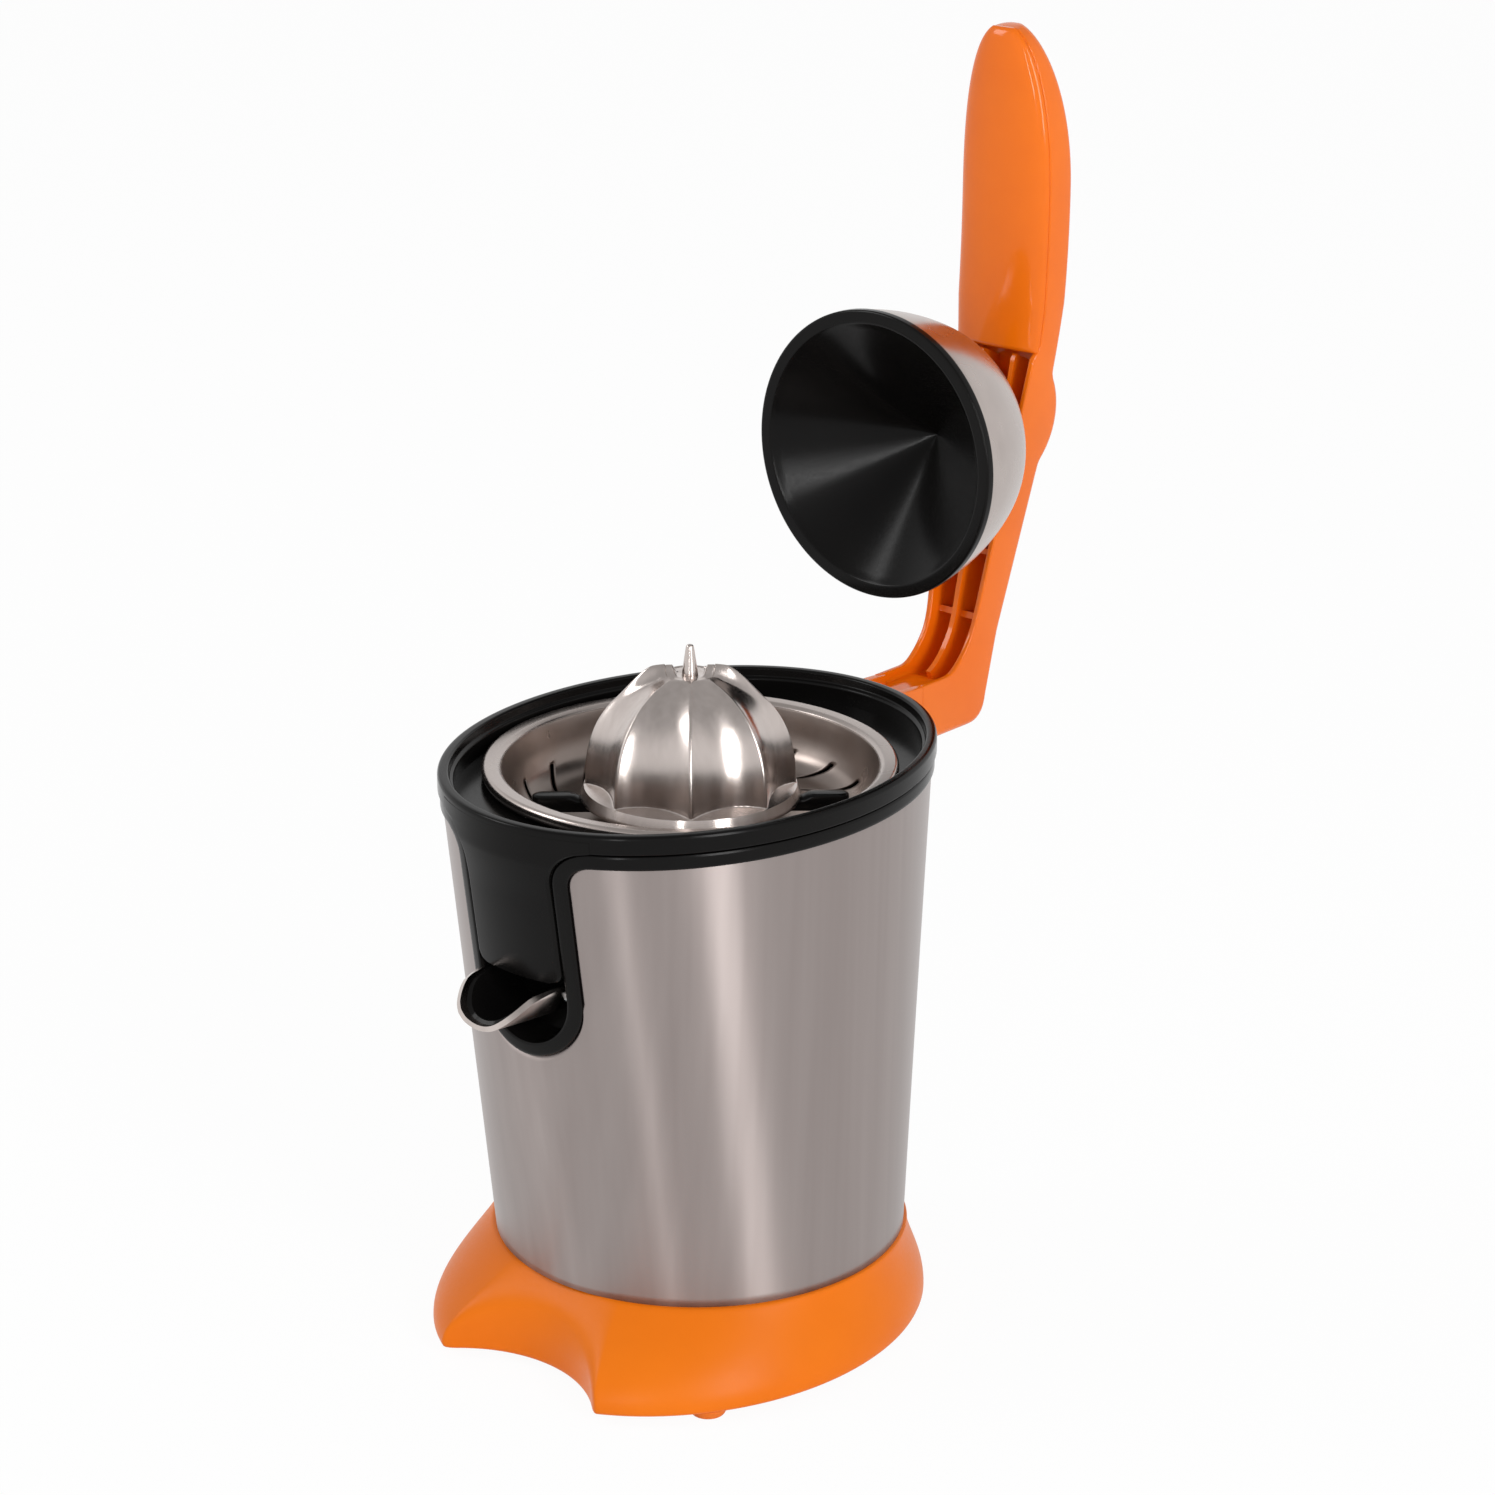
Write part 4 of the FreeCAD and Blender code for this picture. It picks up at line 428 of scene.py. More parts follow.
def ring_at(angles, reach, level):
    """A level ring round the base's middle."""
    return xyz(reach * np.cos(angles), BASE_MIDDLE + reach * np.sin(angles), level)


def base_ring(angles, level, inset):
    """One outer ring of the base: cubics through four ovals, less the notch, drawn in by an inset."""
    oval = oval_reach(angles, *(np.polyval(np.polyfit(BASE_LEVELS, values, 3), level)
                                for values in (BASE_HALF_X, BASE_HALF_Y, BASE_CENTRE)))
    rise = np.clip((level - NOTCH_STRAIGHT) / (BASE_LEVELS[-1] - NOTCH_STRAIGHT), 0, 1)
    notch = notch_reach(angles, NOTCH_RADIUS + NOTCH_FLARE * rise ** 2)
    return ring_at(angles, smooth_min(oval, notch, LOBE_ROUND + LOBE_SOFTER * rise) - inset, level)


turn = steps(0, (NOTCH_ANGLE, 24), (LOBE_ANGLE, 70), (2 * math.pi - LOBE_ANGLE, 200),
             (2 * math.pi - NOTCH_ANGLE, 70), (2 * math.pi, 24))[:-1] - math.pi / 2
heights = np.concatenate([[3.5, 3.7, 4.1, 4.9], np.linspace(6, 33.0, 34), [33.3, 33.5]])
insets = np.concatenate([[1.2, 0.7, 0.3, 0.0], np.zeros(34), [0.15, 0.5]])
rings = [base_ring(turn, level, inset) for level, inset in zip(heights, insets)]
rings += [ring_at(turn, oval_reach(turn, *oval), level) for level, *oval in BASE_HOLLOW]
make_piece("base_moulding", [patch(np.stack(rings), True, True)], SATIN_ORANGE, "base",
           "base_skirt")

# %% [markdown]
# Four soft feet keep the press from walking on the table. Each is a shallow turned button with a rounded
# edge. A rubber grommet in the back of the base is where the lead would enter; it is turned about a level
# axis.

# %% Feet and gland
FOOT_PLACES = np.array([(-61, -60.5), (61, -60.5), (-50, 56), (50, 56)])
foot = turned(rounded([(0.01, 0.0), (5.9, 0.0), (7.15, 3.4), (0.01, 3.45)], 0.9), once_round(48))
make_piece("feet", [patch(foot + (x, y, 0), wrap_v=True) for x, y in FOOT_PLACES], ORANGE_RUBBER, "base",
           "rubber_feet")
GLAND_BACK = 82.7
GLAND_LEVEL = 16.0
grommet = rounded([(3.4, -8.0), (3.3, 6.0), (3.9, 7.9), (6.4, 7.9), (6.9, 7.2), (6.9, 6.1), (5.0, 5.9),
                   (4.9, -8.0), (3.4, -8.0)], 0.7)
make_piece("gland", [patch(turned_back(grommet, GLAND_BACK, GLAND_LEVEL, 64), wrap_v=True)], BLACK_RUBBER,
           "base", "cord_gland")

# %% [markdown]
# The sleeve is a strip of brushed sheet bent to an oval that widens upwards, mostly towards the front and
# the back. It has an arched opening for the spout with rounded shoulders at the top, so the sheet is drawn
# as a long patch from one edge of the opening round the back to the other, and a short patch below the
# arch.

# %% Sleeve
SLEEVE_LOW = 33.5
SLEEVE_TOP = 204.0
SLEEVE_HALF_X = (74.5, 77.5)
SLEEVE_HALF_Y = (75.0, 95.5)
SLEEVE_CENTRE = (4.0, 0.0)
SHEET = 0.8
OPENING_HALF = 25.0
ARCH_CENTRE = 152.0
SHOULDER = 8.0
SHOULDER_LOW = SLEEVE_TOP - SHOULDER


def sleeve_oval(level):
    """Half width, half depth and centre of the sleeve at a height, from those at its foot and its top."""
    return [np.interp(level, (SLEEVE_LOW, SLEEVE_TOP), ends)
            for ends in (SLEEVE_HALF_X, SLEEVE_HALF_Y, SLEEVE_CENTRE)]


def on_sleeve(angle, level, proud=0.0):
    """Point of the sleeve at an angle from +X, pushed outwards by a proud distance."""
    half_x, half_y, centre = sleeve_oval(level)
    return xyz((half_x + proud) * np.cos(angle), centre + (half_y + proud) * np.sin(angle), level)


def front_angle(across, level):
    """Angle at which the sleeve's front has a given sideways place."""
    return -np.arccos(np.clip(across / sleeve_oval(level)[0], -1, 1))


def side_to_side(count):
    """Places from -1 to 1, closer together towards both ends."""
    return np.sin(np.linspace(-math.pi / 2, math.pi / 2, count))


def shoulder_half(level, radius):
    """Half width of the opening: straight up to the shoulders, which flare on a radius."""
    drop = np.clip(level - SHOULDER_LOW, 0, radius)
    return OPENING_HALF + SHOULDER - np.sqrt(radius ** 2 - drop ** 2)


low_rows = np.linspace(SLEEVE_LOW, ARCH_CENTRE, 36)
high_rows = steps(ARCH_CENTRE, (SHOULDER_LOW, 10), (SLEEVE_TOP - 1.5, 8), (SLEEVE_TOP, 6))[1:]
level = np.concatenate([low_rows, high_rows])[:, None]
edge = -front_angle(shoulder_half(level, SHOULDER), level)
main_sheet = on_sleeve(-edge + (math.pi + 2 * edge) * np.linspace(0, 1, 321), level)
across = OPENING_HALF * side_to_side(61)[::-1]
arch = ARCH_CENTRE - np.sqrt(np.maximum(OPENING_HALF ** 2 - across ** 2, 0))
rise = ((low_rows - SLEEVE_LOW) / (ARCH_CENTRE - SLEEVE_LOW))[:, None]
level = SLEEVE_LOW + (arch - SLEEVE_LOW) * rise
front_sheet = on_sleeve(front_angle(across, level), level)
make_piece("sleeve", [patch(main_sheet), patch(front_sheet)], BRUSHED, "base",
           "body_sleeve", wall=SHEET)

# %% [markdown]
# The collar is a black moulding that crowns the sleeve and runs down round the spout recess as a raised
# frame. Its outer edge follows the sheet's edge and its inner edge is the same path about five millimetres
# further in, so both are one path read at two offsets, and the strip between them is rounded over both
# edges. The recess behind the spout is a plain pocket with a wall round it and one at its end.

# %% Collar with the spout recess
FRAME_WIDTH = 5.2
POCKET_DEPTH = 15.0
POCKET_WALL = 1.2
POCKET_WIDER = 1.06
PROUD = 1.0
MOUTH_PROUD = 0.2


def collar_path(offset):
    """Half of the collar's path, from the back centre to the arch's lowest point, at an offset inwards."""
    corner, arch = np.linspace(0, math.pi / 2, 17), np.linspace(0, math.pi / 2, 25)
    half, bend = OPENING_HALF - offset, SHOULDER + offset
    straight = np.linspace(SHOULDER_LOW, ARCH_CENTRE, 12)[1:-1]
    x = np.concatenate([OPENING_HALF + SHOULDER - bend * np.sin(corner), np.full(straight.shape, half),
                        half * np.cos(arch)])
    z = np.concatenate([SHOULDER_LOW + bend * np.cos(corner), straight, ARCH_CENTRE - half * np.sin(arch)])
    back_angle = np.linspace(math.pi / 2, front_angle(x[0], z[0]), 101)[:-1]
    return np.concatenate([back_angle, front_angle(x, z)]), np.concatenate([np.full(100, z[0]), z])


def collar_strip(offset, proud):
    """The whole path, right half and mirrored left half, at an offset and a proud distance."""
    path_angle, path_level = collar_path(offset)
    right = on_sleeve(path_angle, path_level, proud)
    left = right[-2:0:-1] * (-1, 1, 1)
    return np.concatenate([right, left])


offsets = [0.0, 0.02, 0.25, 0.7, 1.5] + [FRAME_WIDTH - inward for inward in (1.2, 0.5, 0.15, 0.0, 0.0)]
lifts = [-2.0, 0.35, 0.75, PROUD, PROUD, PROUD, PROUD - 0.1, PROUD - 0.35, MOUTH_PROUD, -2.4]
rows = np.stack([collar_strip(offset, lift) for offset, lift in zip(offsets, lifts)])
pocket_half = OPENING_HALF - FRAME_WIDTH
pocket_x = pocket_half * side_to_side(41)
pocket_low = ARCH_CENTRE - np.sqrt(np.maximum(pocket_half ** 2 - pocket_x ** 2, 0))
pocket_z = pocket_low + (SHOULDER_LOW - pocket_low) * np.linspace(0, 1, 25)[:, None]
mouth = on_sleeve(front_angle(pocket_x, pocket_z), pocket_z, MOUTH_PROUD)
ring = np.concatenate([mouth[::-1, 0], mouth[0, 1:], mouth[1:, -1]])
inside = ring + np.linspace(0, POCKET_DEPTH, 6)[:, None, None] * (0, 1, 0)
outside = (inside - (0, 0, ARCH_CENTRE)) * (POCKET_WIDER, 1, POCKET_WIDER) + (0, 0, ARCH_CENTRE)
end_wall = mouth + (0, POCKET_DEPTH, 0)
pocket = shell_between(inside, outside) + shell_between(end_wall, end_wall + (0, POCKET_WALL, 0))
make_piece("collar", [patch(rows, True, True)] + pocket, BLACK, "base", "collar_trim")

# %% [markdown]
# The juice collector drops into the collar. Its rim has a flat outer face, a narrow level top and a step
# inside it, and a tongue of it hangs down in front to hide the outlet. The tongue's sides turn out into the
# rim round the same centres as the collar's shoulders, which leaves a thin even groove between the two.

# %% Juice collector
RIM_HALF_X = 79.0
RIM_HALF_Y = 97.5
RIM_LOW = 209.9
RIM_TOP = 216.5
WELL_FLOOR = 206.0
TRAY_MOUTH = 69.5
TONGUE_HALF = 19.3
TONGUE_LOW = 158.5
TONGUE_HIGH = 214.0
TONGUE_ROUND = 4.5
TONGUE_THICK = 4.0
TONGUE_PROUD = 1.3
TONGUE_FLARE = 0.72
TONGUE_EDGE = 0.5
GROOVE = 0.6
SIDE_LESS = 0.19


def oval_rings(profile, angles):
    """Rings of the rim's oval from (distance inwards, height); past the top this is less at the sides."""
    inward, height = np.asarray(profile, float).T[..., None]
    sideways = inward * (1 - SIDE_LESS * smooth_step(3.0, 6.2, inward))
    return xyz((RIM_HALF_X - sideways) * np.cos(angles), (RIM_HALF_Y - inward) * np.sin(angles), height)


angles = once_round(320)
lip = rounded([(3.0, RIM_LOW), (0.25, RIM_LOW), (0.0, RIM_LOW + 0.3), (0.0, 215.4), (0.5, RIM_TOP - 0.2),
               (1.4, RIM_TOP), (3.4, RIM_TOP), (4.1, 216.0), (4.4, 213.2), (5.9, 212.8), (6.2, 212.2),
               (6.2, WELL_FLOOR + 0.5)], 0.5)
tray = rounded([(TRAY_MOUTH, WELL_FLOOR), (69.0, 203.0), (60.0, 158.0), (11.5, 161.0), (11.5, 182.0),
                (9.0, 182.0), (9.0, 160.0)], 1.5)
below = [(9.0, 158.6), (61.2, 156.5), (70.4, 202.8), (70.8, 204.6)]
tub = np.concatenate([oval_rings(lip, angles), turned(np.concatenate([tray, below]), angles),
                      oval_rings([(4.6, 205.0), (4.2, 208.5)], angles)])
level = steps(TONGUE_LOW, (TONGUE_LOW + TONGUE_ROUND, 8), (SHOULDER_LOW, 16), (RIM_LOW, 16),
              (TONGUE_HIGH, 4))[:, None]
low_part = np.clip(TONGUE_ROUND - (level - TONGUE_LOW), 0, TONGUE_ROUND)
half = np.where(level < TONGUE_LOW + TONGUE_ROUND,
                TONGUE_HALF - TONGUE_ROUND + np.sqrt(TONGUE_ROUND ** 2 - low_part ** 2),
                shoulder_half(level, SHOULDER + FRAME_WIDTH + GROOVE))
across = half * side_to_side(61)
near_edge = smooth_step(0.95, 1.0, np.abs(across) / half)
lift = (TONGUE_PROUD + TONGUE_FLARE * smooth_step(188.0, 206.0, level)
        - TONGUE_EDGE * near_edge * (1 - smooth_step(207.0, RIM_LOW, level)))
tongue = on_sleeve(front_angle(across, level), level, lift)
panel = shell_between(tongue, tongue + (0, TONGUE_THICK, 0))
make_piece("collector", [patch(tub, True, True)] + panel, BLACK, "base", "juice_collector")

# %% [markdown]
# The strainer bowl is pressed from thin sheet: the rim is curled over to a broad lip, the wall sweeps down in
# one curve, and short slots are punched on a swirl round its foot. The grid itself is swirled, so each slot
# is a run of faces that is left out, and the sheet gets its thickness afterwards. The lip is the upper part
# of the same grid in satin steel; the rest is painted a darker steel, which is painted shade inside the bowl.

# %% Strainer bowl
SLOTS = 20
SLOT_COLUMNS = 18
SLOT_WIDE = 2
SLOT_INSIDE = 44.0
SLOT_OUTSIDE = 63.0
SLOT_TOP = 197.0
SWIRL = 0.5
SWIRL_START = 66.0
SWIRL_LONG = 25.0
LIP_INSIDE = 66.6
LIP_LOW = 205.0
BOWL_SHEET = 0.7
bowl_wall = rounded([(72.4, 206.8), (73.5, 208.6), (73.4, 210.6), (72.4, 211.6), (68.0, 211.4), (66.5, 210.4),
                     (65.8, 207.5), (64.4, 200.0), (61.4, 193.6), (56.0, 190.3), (48.0, 190.0)], 3.0, 7)
bowl_floor = np.stack([steps(48.0, (41.0, 7), (14.0, 10), (13.0, 1)), np.full(19, 190.0)], -1)[1:]
profile = np.concatenate([bowl_wall, bowl_floor])
columns = SLOTS * SLOT_COLUMNS
radius, height = profile.T
twist = SWIRL * np.clip((SWIRL_START - radius) / SWIRL_LONG, 0, 1)
points, quads = patch(turned(profile, once_round(columns) + twist[:, None]), wrap_v=True)
row = quads[:, 0] // columns
column = quads[:, 0] % columns
middle = (radius[row] + radius[np.minimum(row + 1, len(radius) - 1)]) / 2
open_band = (middle > SLOT_INSIDE) & (middle < SLOT_OUTSIDE) & (height[row] < SLOT_TOP)
slot = open_band & (column % SLOT_COLUMNS < SLOT_WIDE)
lip = (middle > LIP_INSIDE) & (height[row] > LIP_LOW)
# The inside of the bowl takes the darker steel, whose colour is painted shade.
for name, faces, finish in (("bowl", ~slot & ~lip, SHADED_BOWL_STEEL), ("bowl_lip", lip, SATIN)):
    make_piece(name, [(points, quads[faces])], finish, "base", "strainer_bowl",
               wall=BOWL_SHEET)

# %% [markdown]
# The reamer is one deep-drawn steel cap with eight ridges. Each flute between two ridges is part of a
# circle in section, so the radius at an angle is the near crossing with that circle; the size of the
# section shrinks with height like a full dome. A low skirt runs out below the flutes and cuts their ends to
# scallops. Two of the ridges rise into fins that tear the fruit: a bump added to the height near the fins'
# plane. The cap is hollow, so the grid starts under its crown and comes out round the flange.

# %% Reamer
DOME_LOW = 201.0
DOME_HEIGHT = 43.3
DOME_RADIUS = 37.6
DOME_POWER = 2.6
SKIRT_LOW = 199.0
SKIRT_EDGE = 202.5
CROWN = 243.15
RIDGES = 8
RIDGE_TURN = math.radians(-3.0)
RIDGE_SOFT = 0.010
FLUTE_DEPTH = 0.075
FIN_ANGLE = math.radians(42.0)
FIN_HALF = 2.3
FIN_TALL = 3.4
FIN_TALLER = 0.7


def flute_radius(angle):
    """Section radius over ridge radius: the near crossing of a ray with the flute's circle."""
    half = math.pi / RIDGES
    chord, near = math.sin(half), math.cos(half) - FLUTE_DEPTH
    circle = (chord ** 2 + FLUTE_DEPTH ** 2) / (2 * FLUTE_DEPTH)
    centre = near + circle
    away = (angle - RIDGE_TURN) % (2 * half) - half
    reach = centre * np.cos(away) - np.sqrt(np.maximum(circle ** 2 - (centre * np.sin(away)) ** 2, 0))
    return reach - RIDGE_SOFT * np.exp(-(half - np.abs(away)) / RIDGE_SOFT)


def dome_level(radius):
    """Height at which the dome has a ridge radius: a superellipse, round above and upright below."""
    return DOME_LOW + DOME_HEIGHT * (1 - (radius / DOME_RADIUS) ** 2) ** (1 / DOME_POWER)


def dome_radius(level):
    """Ridge radius of the dome at a height, the same superellipse read the other way."""
    part = np.clip((level - DOME_LOW) / DOME_HEIGHT, 0, 1)
    return DOME_RADIUS * np.sqrt(1 - part ** DOME_POWER)


def fin_rise(radius, angle):
    """Height of the fins: a narrow ridge over their plane, steep towards the pin, long towards the rim."""
    lateral = radius * np.sin(angle - FIN_ANGLE)
    tall = (FIN_TALL + FIN_TALLER * smooth_step(8, 14, radius)) * smooth_step(4.6, 6.2, radius)
    return tall * (1 - smooth_step(13, 26, radius)) * np.exp(-(lateral / FIN_HALF) ** 2)


flute_share = steps(0.0, (0.06, 5), (0.94, 26), (1.0, 5))[:-1]
around = (RIDGE_TURN + (np.arange(RIDGES)[:, None] + flute_share) * 2 * math.pi / RIDGES).ravel()
sizes = steps(30.0, (9.0, 60))[:, None]
low_levels = steps(SKIRT_LOW, (SKIRT_EDGE, 6), (206.0, 24), (229.6, 34))[:, None]
level = np.concatenate([low_levels, dome_level(sizes)])
size = np.concatenate([dome_radius(low_levels), sizes])
depth = smooth_step(8.0, 15.0, size)
star = size * (1 + (flute_radius(around) - 1) * depth)
skirt = np.interp(level, (SKIRT_LOW, SKIRT_EDGE, SKIRT_EDGE + 10.0), (39.0, 37.6, 3.6))
reach = -smooth_min(-star, -skirt, 0.5)
body = xyz(reach * np.cos(around), reach * np.sin(around), level + fin_rise(reach, around))
hollow = [(0.01, 241.8), (10.0, 241.2), (16.0, 238.0), (22.0, 232.0), (27.0, 223.0), (30.0, 210.0),
          (31.0, 203.0), (34.5, 199.2)]
flange = [(36.0, 198.2), (38.5, 198.0), (38.9, 198.2), (39.0, 198.6)]
disc = np.array([(8.8, CROWN + 0.1), (8.6, CROWN - 0.2), (8.4, CROWN - 0.05), (7.4, CROWN)]
                + [(size, CROWN) for size in (6.6, 6.2, 5.8, 5.4, 5.0, 4.6, 0.01)])
top = turned(disc, around)
top[..., 2] += fin_rise(disc[:, :1], around)
make_piece("reamer", [patch(np.concatenate([turned(hollow + flange, around), body, top]), wrap_v=True)],
           POLISHED, "reamer", "reamer_cone", sharp=38.0)

# %% [markdown]
# A pointed pin in the reamer's crown holds the fruit, and a black wiper turns with the reamer below it and
# sweeps the pulp off the slots. An arm of the wiper is a rounded bar whose tip stands up outside the
# reamer.

# %% Pin and wiper
pin = turned(rounded([(0.01, 242.6), (2.6, 242.6), (2.85, 243.3), (2.75, 244.2), (1.5, 252.6), (1.2, 253.8),
                      (0.01, 254.1)], 0.6), once_round(48))
make_piece("pin", [patch(pin, wrap_v=True)], POLISHED, "reamer", "reamer_pin")

WIPER_START = 12.0
WIPER_REACH = 56.0
WIPER_HALF = 3.5
WIPER_TOP = 197.4
WIPER_TIP = 1.4


def spun(points, angle):
    """Points turned about the reamer's axis."""
    cosine, sine = math.cos(angle), math.sin(angle)
    return points @ np.array([[cosine, sine, 0], [-sine, cosine, 0], [0, 0, 1]])


bend = np.linspace(-math.pi / 2, math.pi / 2, 17)
straight = np.linspace(WIPER_START, 50.0, 20)
out = np.concatenate([straight, WIPER_REACH - WIPER_HALF + WIPER_HALF * np.cos(bend), straight[::-1]])
side = np.concatenate([np.full(20, -WIPER_HALF), WIPER_HALF * np.sin(bend), np.full(20, WIPER_HALF)])
top = WIPER_TOP + WIPER_TIP * smooth_step(39.6, 43.0, out)
inset = np.array([0.7, 0.2, 0.0, 0.0, 0.2, 0.7, 1.6])[:, None]
height = np.stack([np.full_like(top, low) for low in (192.8, 193.0, 193.6)]
                  + [top - drop for drop in (1.2, 0.5, 0.12, 0.0)])
shorter = 1 - inset / (WIPER_REACH - WIPER_START)
arm = xyz(WIPER_START + (out - WIPER_START) * shorter, side * (1 - inset / WIPER_HALF), height)
make_piece("wiper", capped(spun(arm, FIN_ANGLE)) + capped(spun(arm, FIN_ANGLE + math.pi)), BLACK, "reamer",
           "strainer_wiper")

# %% [markdown]
# The spout is a small steel beak with a black lining that tips up on two stubs to stop the drip. Its
# section is a U that narrows forward. Its mouth is cut to an S in the side view: upright and furthest out
# below, then sloping back, then running level into the recess. So the length of each line along the beak
# depends on how high in the U it runs.

# %% Spout
SPOUT_BACK = -76.0
SPOUT_LIP = -108.4
SPOUT_TOP = 156.4
SPOUT_HALF = (18.5, 15.5)
SPOUT_LOW = (141.0, 143.6)
SPOUT_SHEET = 1.8
LINING_SHEET = 1.2
U_DEPTH = 0.75
U_ARC = 0.88
MOUTH_LEVELS = np.array([142.0, 145.0, 147.0, 149.0, 151.0, 153.0, 154.5, 155.3, 155.9, 156.4])
MOUTH_SETBACK = np.array([0.0, 0.1, 0.9, 2.6, 5.0, 7.6, 10.2, 13.6, 18.0, 24.0])


def u_section(around, y, inset):
    """Point of the U at a share round it (-1 to 1): a shallow arc below and short upright walls."""
    forward = (SPOUT_BACK - y) / (SPOUT_BACK - SPOUT_LIP)
    half, low = (back + (lip - back) * forward for back, lip in (SPOUT_HALF, SPOUT_LOW))
    size = half * (1 + U_DEPTH ** 2) / (2 * U_DEPTH)
    bend = np.clip(np.abs(around) / U_ARC, 0, 1) * math.asin(2 * U_DEPTH / (1 + U_DEPTH ** 2))
    x = (half - inset) / half * size * np.sin(bend)
    z = low + inset + size * (1 - np.cos(bend)) * (1 - inset / (2 * half))
    wall = np.clip((np.abs(around) - U_ARC) / (1 - U_ARC), 0, 1)
    return np.sign(around) * x, z + (SPOUT_TOP - z) * wall


def spout_sheet(inset, behind, cut):
    """Share round the U by distance from the back to the mouth, whose S is read at the inset called cut."""
    around = np.linspace(-1.0, 1.0, 81)
    tip = np.full(around.shape, SPOUT_LIP)
    for _ in range(8):
        rise = u_section(around, tip, cut)[1]
        tip = (tip + SPOUT_LIP + np.interp(rise, MOUTH_LEVELS, MOUTH_SETBACK)) / 2
    y = SPOUT_BACK + (tip + behind - SPOUT_BACK) * np.linspace(0, 1, 25)[:, None]
    x, z = u_section(around, y, inset)
    return xyz(x, y, z)


beak = shell_between(spout_sheet(0.0, 0.0, 0.0), spout_sheet(SPOUT_SHEET, 0.2, 0.0))
make_piece("spout_steel", beak, POLISHED, "spout", "spout_shell")
inner = SPOUT_SHEET + LINING_SHEET
bed = shell_between(spout_sheet(SPOUT_SHEET + 0.03, 2.2, SPOUT_SHEET), spout_sheet(inner, 2.6, inner))
make_piece("spout_lining", bed, BLACK, "spout", "spout_liner")

# %% [markdown]
# The lever is a cranked channel moulding, open to the front: a flat foot at the hinge, an elbow, a straight
# arm with a round boss behind the press cone, and a grip. Its side view gives a front and a back path. At
# each station a U is set across from the front path to the back path, as wide as the front view says.

# %% Lever paths
ARM_HALF = 11.6
GRIP_HALF = 20.1
WIDEN_LOW = 222.0
WIDEN_HIGH = 345.0
PADDLE_LOW = 383.0
PADDLE_LONG = 65.0
COVER_SIDE = 2.8
COVER_LOW = 328.0


def run_length(path):
    """Distance along a path to each of its points."""
    return np.concatenate([[0], np.cumsum(np.linalg.norm(np.diff(path, axis=0), axis=1))])


def read_path(path, marks, at):
    """Points of a plane path at other places than its own marks."""
    return np.stack([np.interp(at, marks, path[:, i]) for i in (0, 1)], -1)


def soft_path(runs, width):
    """Runs of points joined, read every half millimetre, and averaged over a width to round their joints."""
    path = np.concatenate([runs[0]] + [run[1:] for run in runs[1:]])
    length = run_length(path)
    even = read_path(path, length, np.arange(0, length[-1], 0.5))
    window = int(width / 0.5) | 1
    before_it, after_it = even[:1] * 2 - even[window:0:-1], even[-1:] * 2 - even[-2:-window - 2:-1]
    padded = np.concatenate([before_it, even, after_it])
    mean = np.stack([np.convolve(padded[:, i], np.full(window, 1 / window), "same") for i in (0, 1)], -1)
    return mean[window:-window]


def stations(path, corners, counts):
    """A path read so that it meets the given corner points, with even stations between them."""
    length = run_length(path)
    stops = [length[np.argmin(np.linalg.norm(path - corner, axis=1))] for corner in np.array(corners)]
    return read_path(path, length, steps(stops[0], *zip(stops[1:], counts)))


def lever_half(level):
    """Half width of the lever at a height: narrow foot, widening arm, and a grip that ends in an oval."""
    arm = ARM_HALF + (GRIP_HALF - ARM_HALF) * np.clip((level - WIDEN_LOW) / (WIDEN_HIGH - WIDEN_LOW), 0, 1)
    over = np.clip((level - PADDLE_LOW) / PADDLE_LONG, 0, 0.9999)
    return arm * (1 - over ** 2.4) ** 0.45


front_path = soft_path([
    np.array([[114.0, 210.8], [133.0, 210.8]]), arc((133.0, 210.8), (147.5, 230.0), 30.0, 20),
    np.array([[147.5, 230.0], [170.5, 328.0]]), arc((170.5, 328.0), (171.3, 434.0), 600.0, 40),
    np.array([[171.3, 434.0], [169.8, 446.1]])], 6.0)
back_path = soft_path([
    np.array([[114.0, 187.6], [147.0, 187.6]]), arc((147.0, 187.6), (155.5, 195.5), 8.3, 14),
    np.array([[155.5, 195.5], [180.5, 284.5]]), arc((180.5, 284.5), (184.5, 317.0), 24.3, 24),
    arc((184.5, 317.0), (190.6, 385.0), 384.0, 30), arc((190.6, 385.0), (179.6, 447.2), 165.0, 40)], 4.0)
counts = (12, 26, 60, 16, 50, 24)
ahead = stations(front_path, [(116.6, 210.8), (131.0, 210.8), (147.5, 230.0), (163.0, 296.0), (170.5, 328.0),
                              (171.5, 430.0), (169.8, 446.1)], counts)
ahead[:, 0] += COVER_SIDE * smooth_step(COVER_LOW - 2.0, COVER_LOW + 1.5, ahead[:, 1])
behind = stations(back_path, [(116.6, 187.6), (141.0, 187.6), (164.1, 226.1), (185.5, 290.0), (184.9, 322.0),
                              (184.8, 432.0), (179.6, 447.2)], counts)
deep = np.linalg.norm(behind - ahead, axis=1)
print("lever stations:", len(ahead), "from", deep.max().round(1), "to", deep.min().round(1), "mm deep")

# %% [markdown]
# The U has rounded corners behind, softened front edges and walls of about two and a half millimetres. Its
# floor rises to the front at both ends, so the channel is closed there. One half of the section is listed
# from the middle of the back over the wall to the middle of the floor, and the other half mirrors it.

# %% Lever channel
LEVER_WALL = 2.4
LEVER_ROUND = 3.4
EDGE_ROUND = 0.8
FLOOR_ROUND = 1.2
MIDDLE = -99.0
FOOT_CLOSING = 0.82

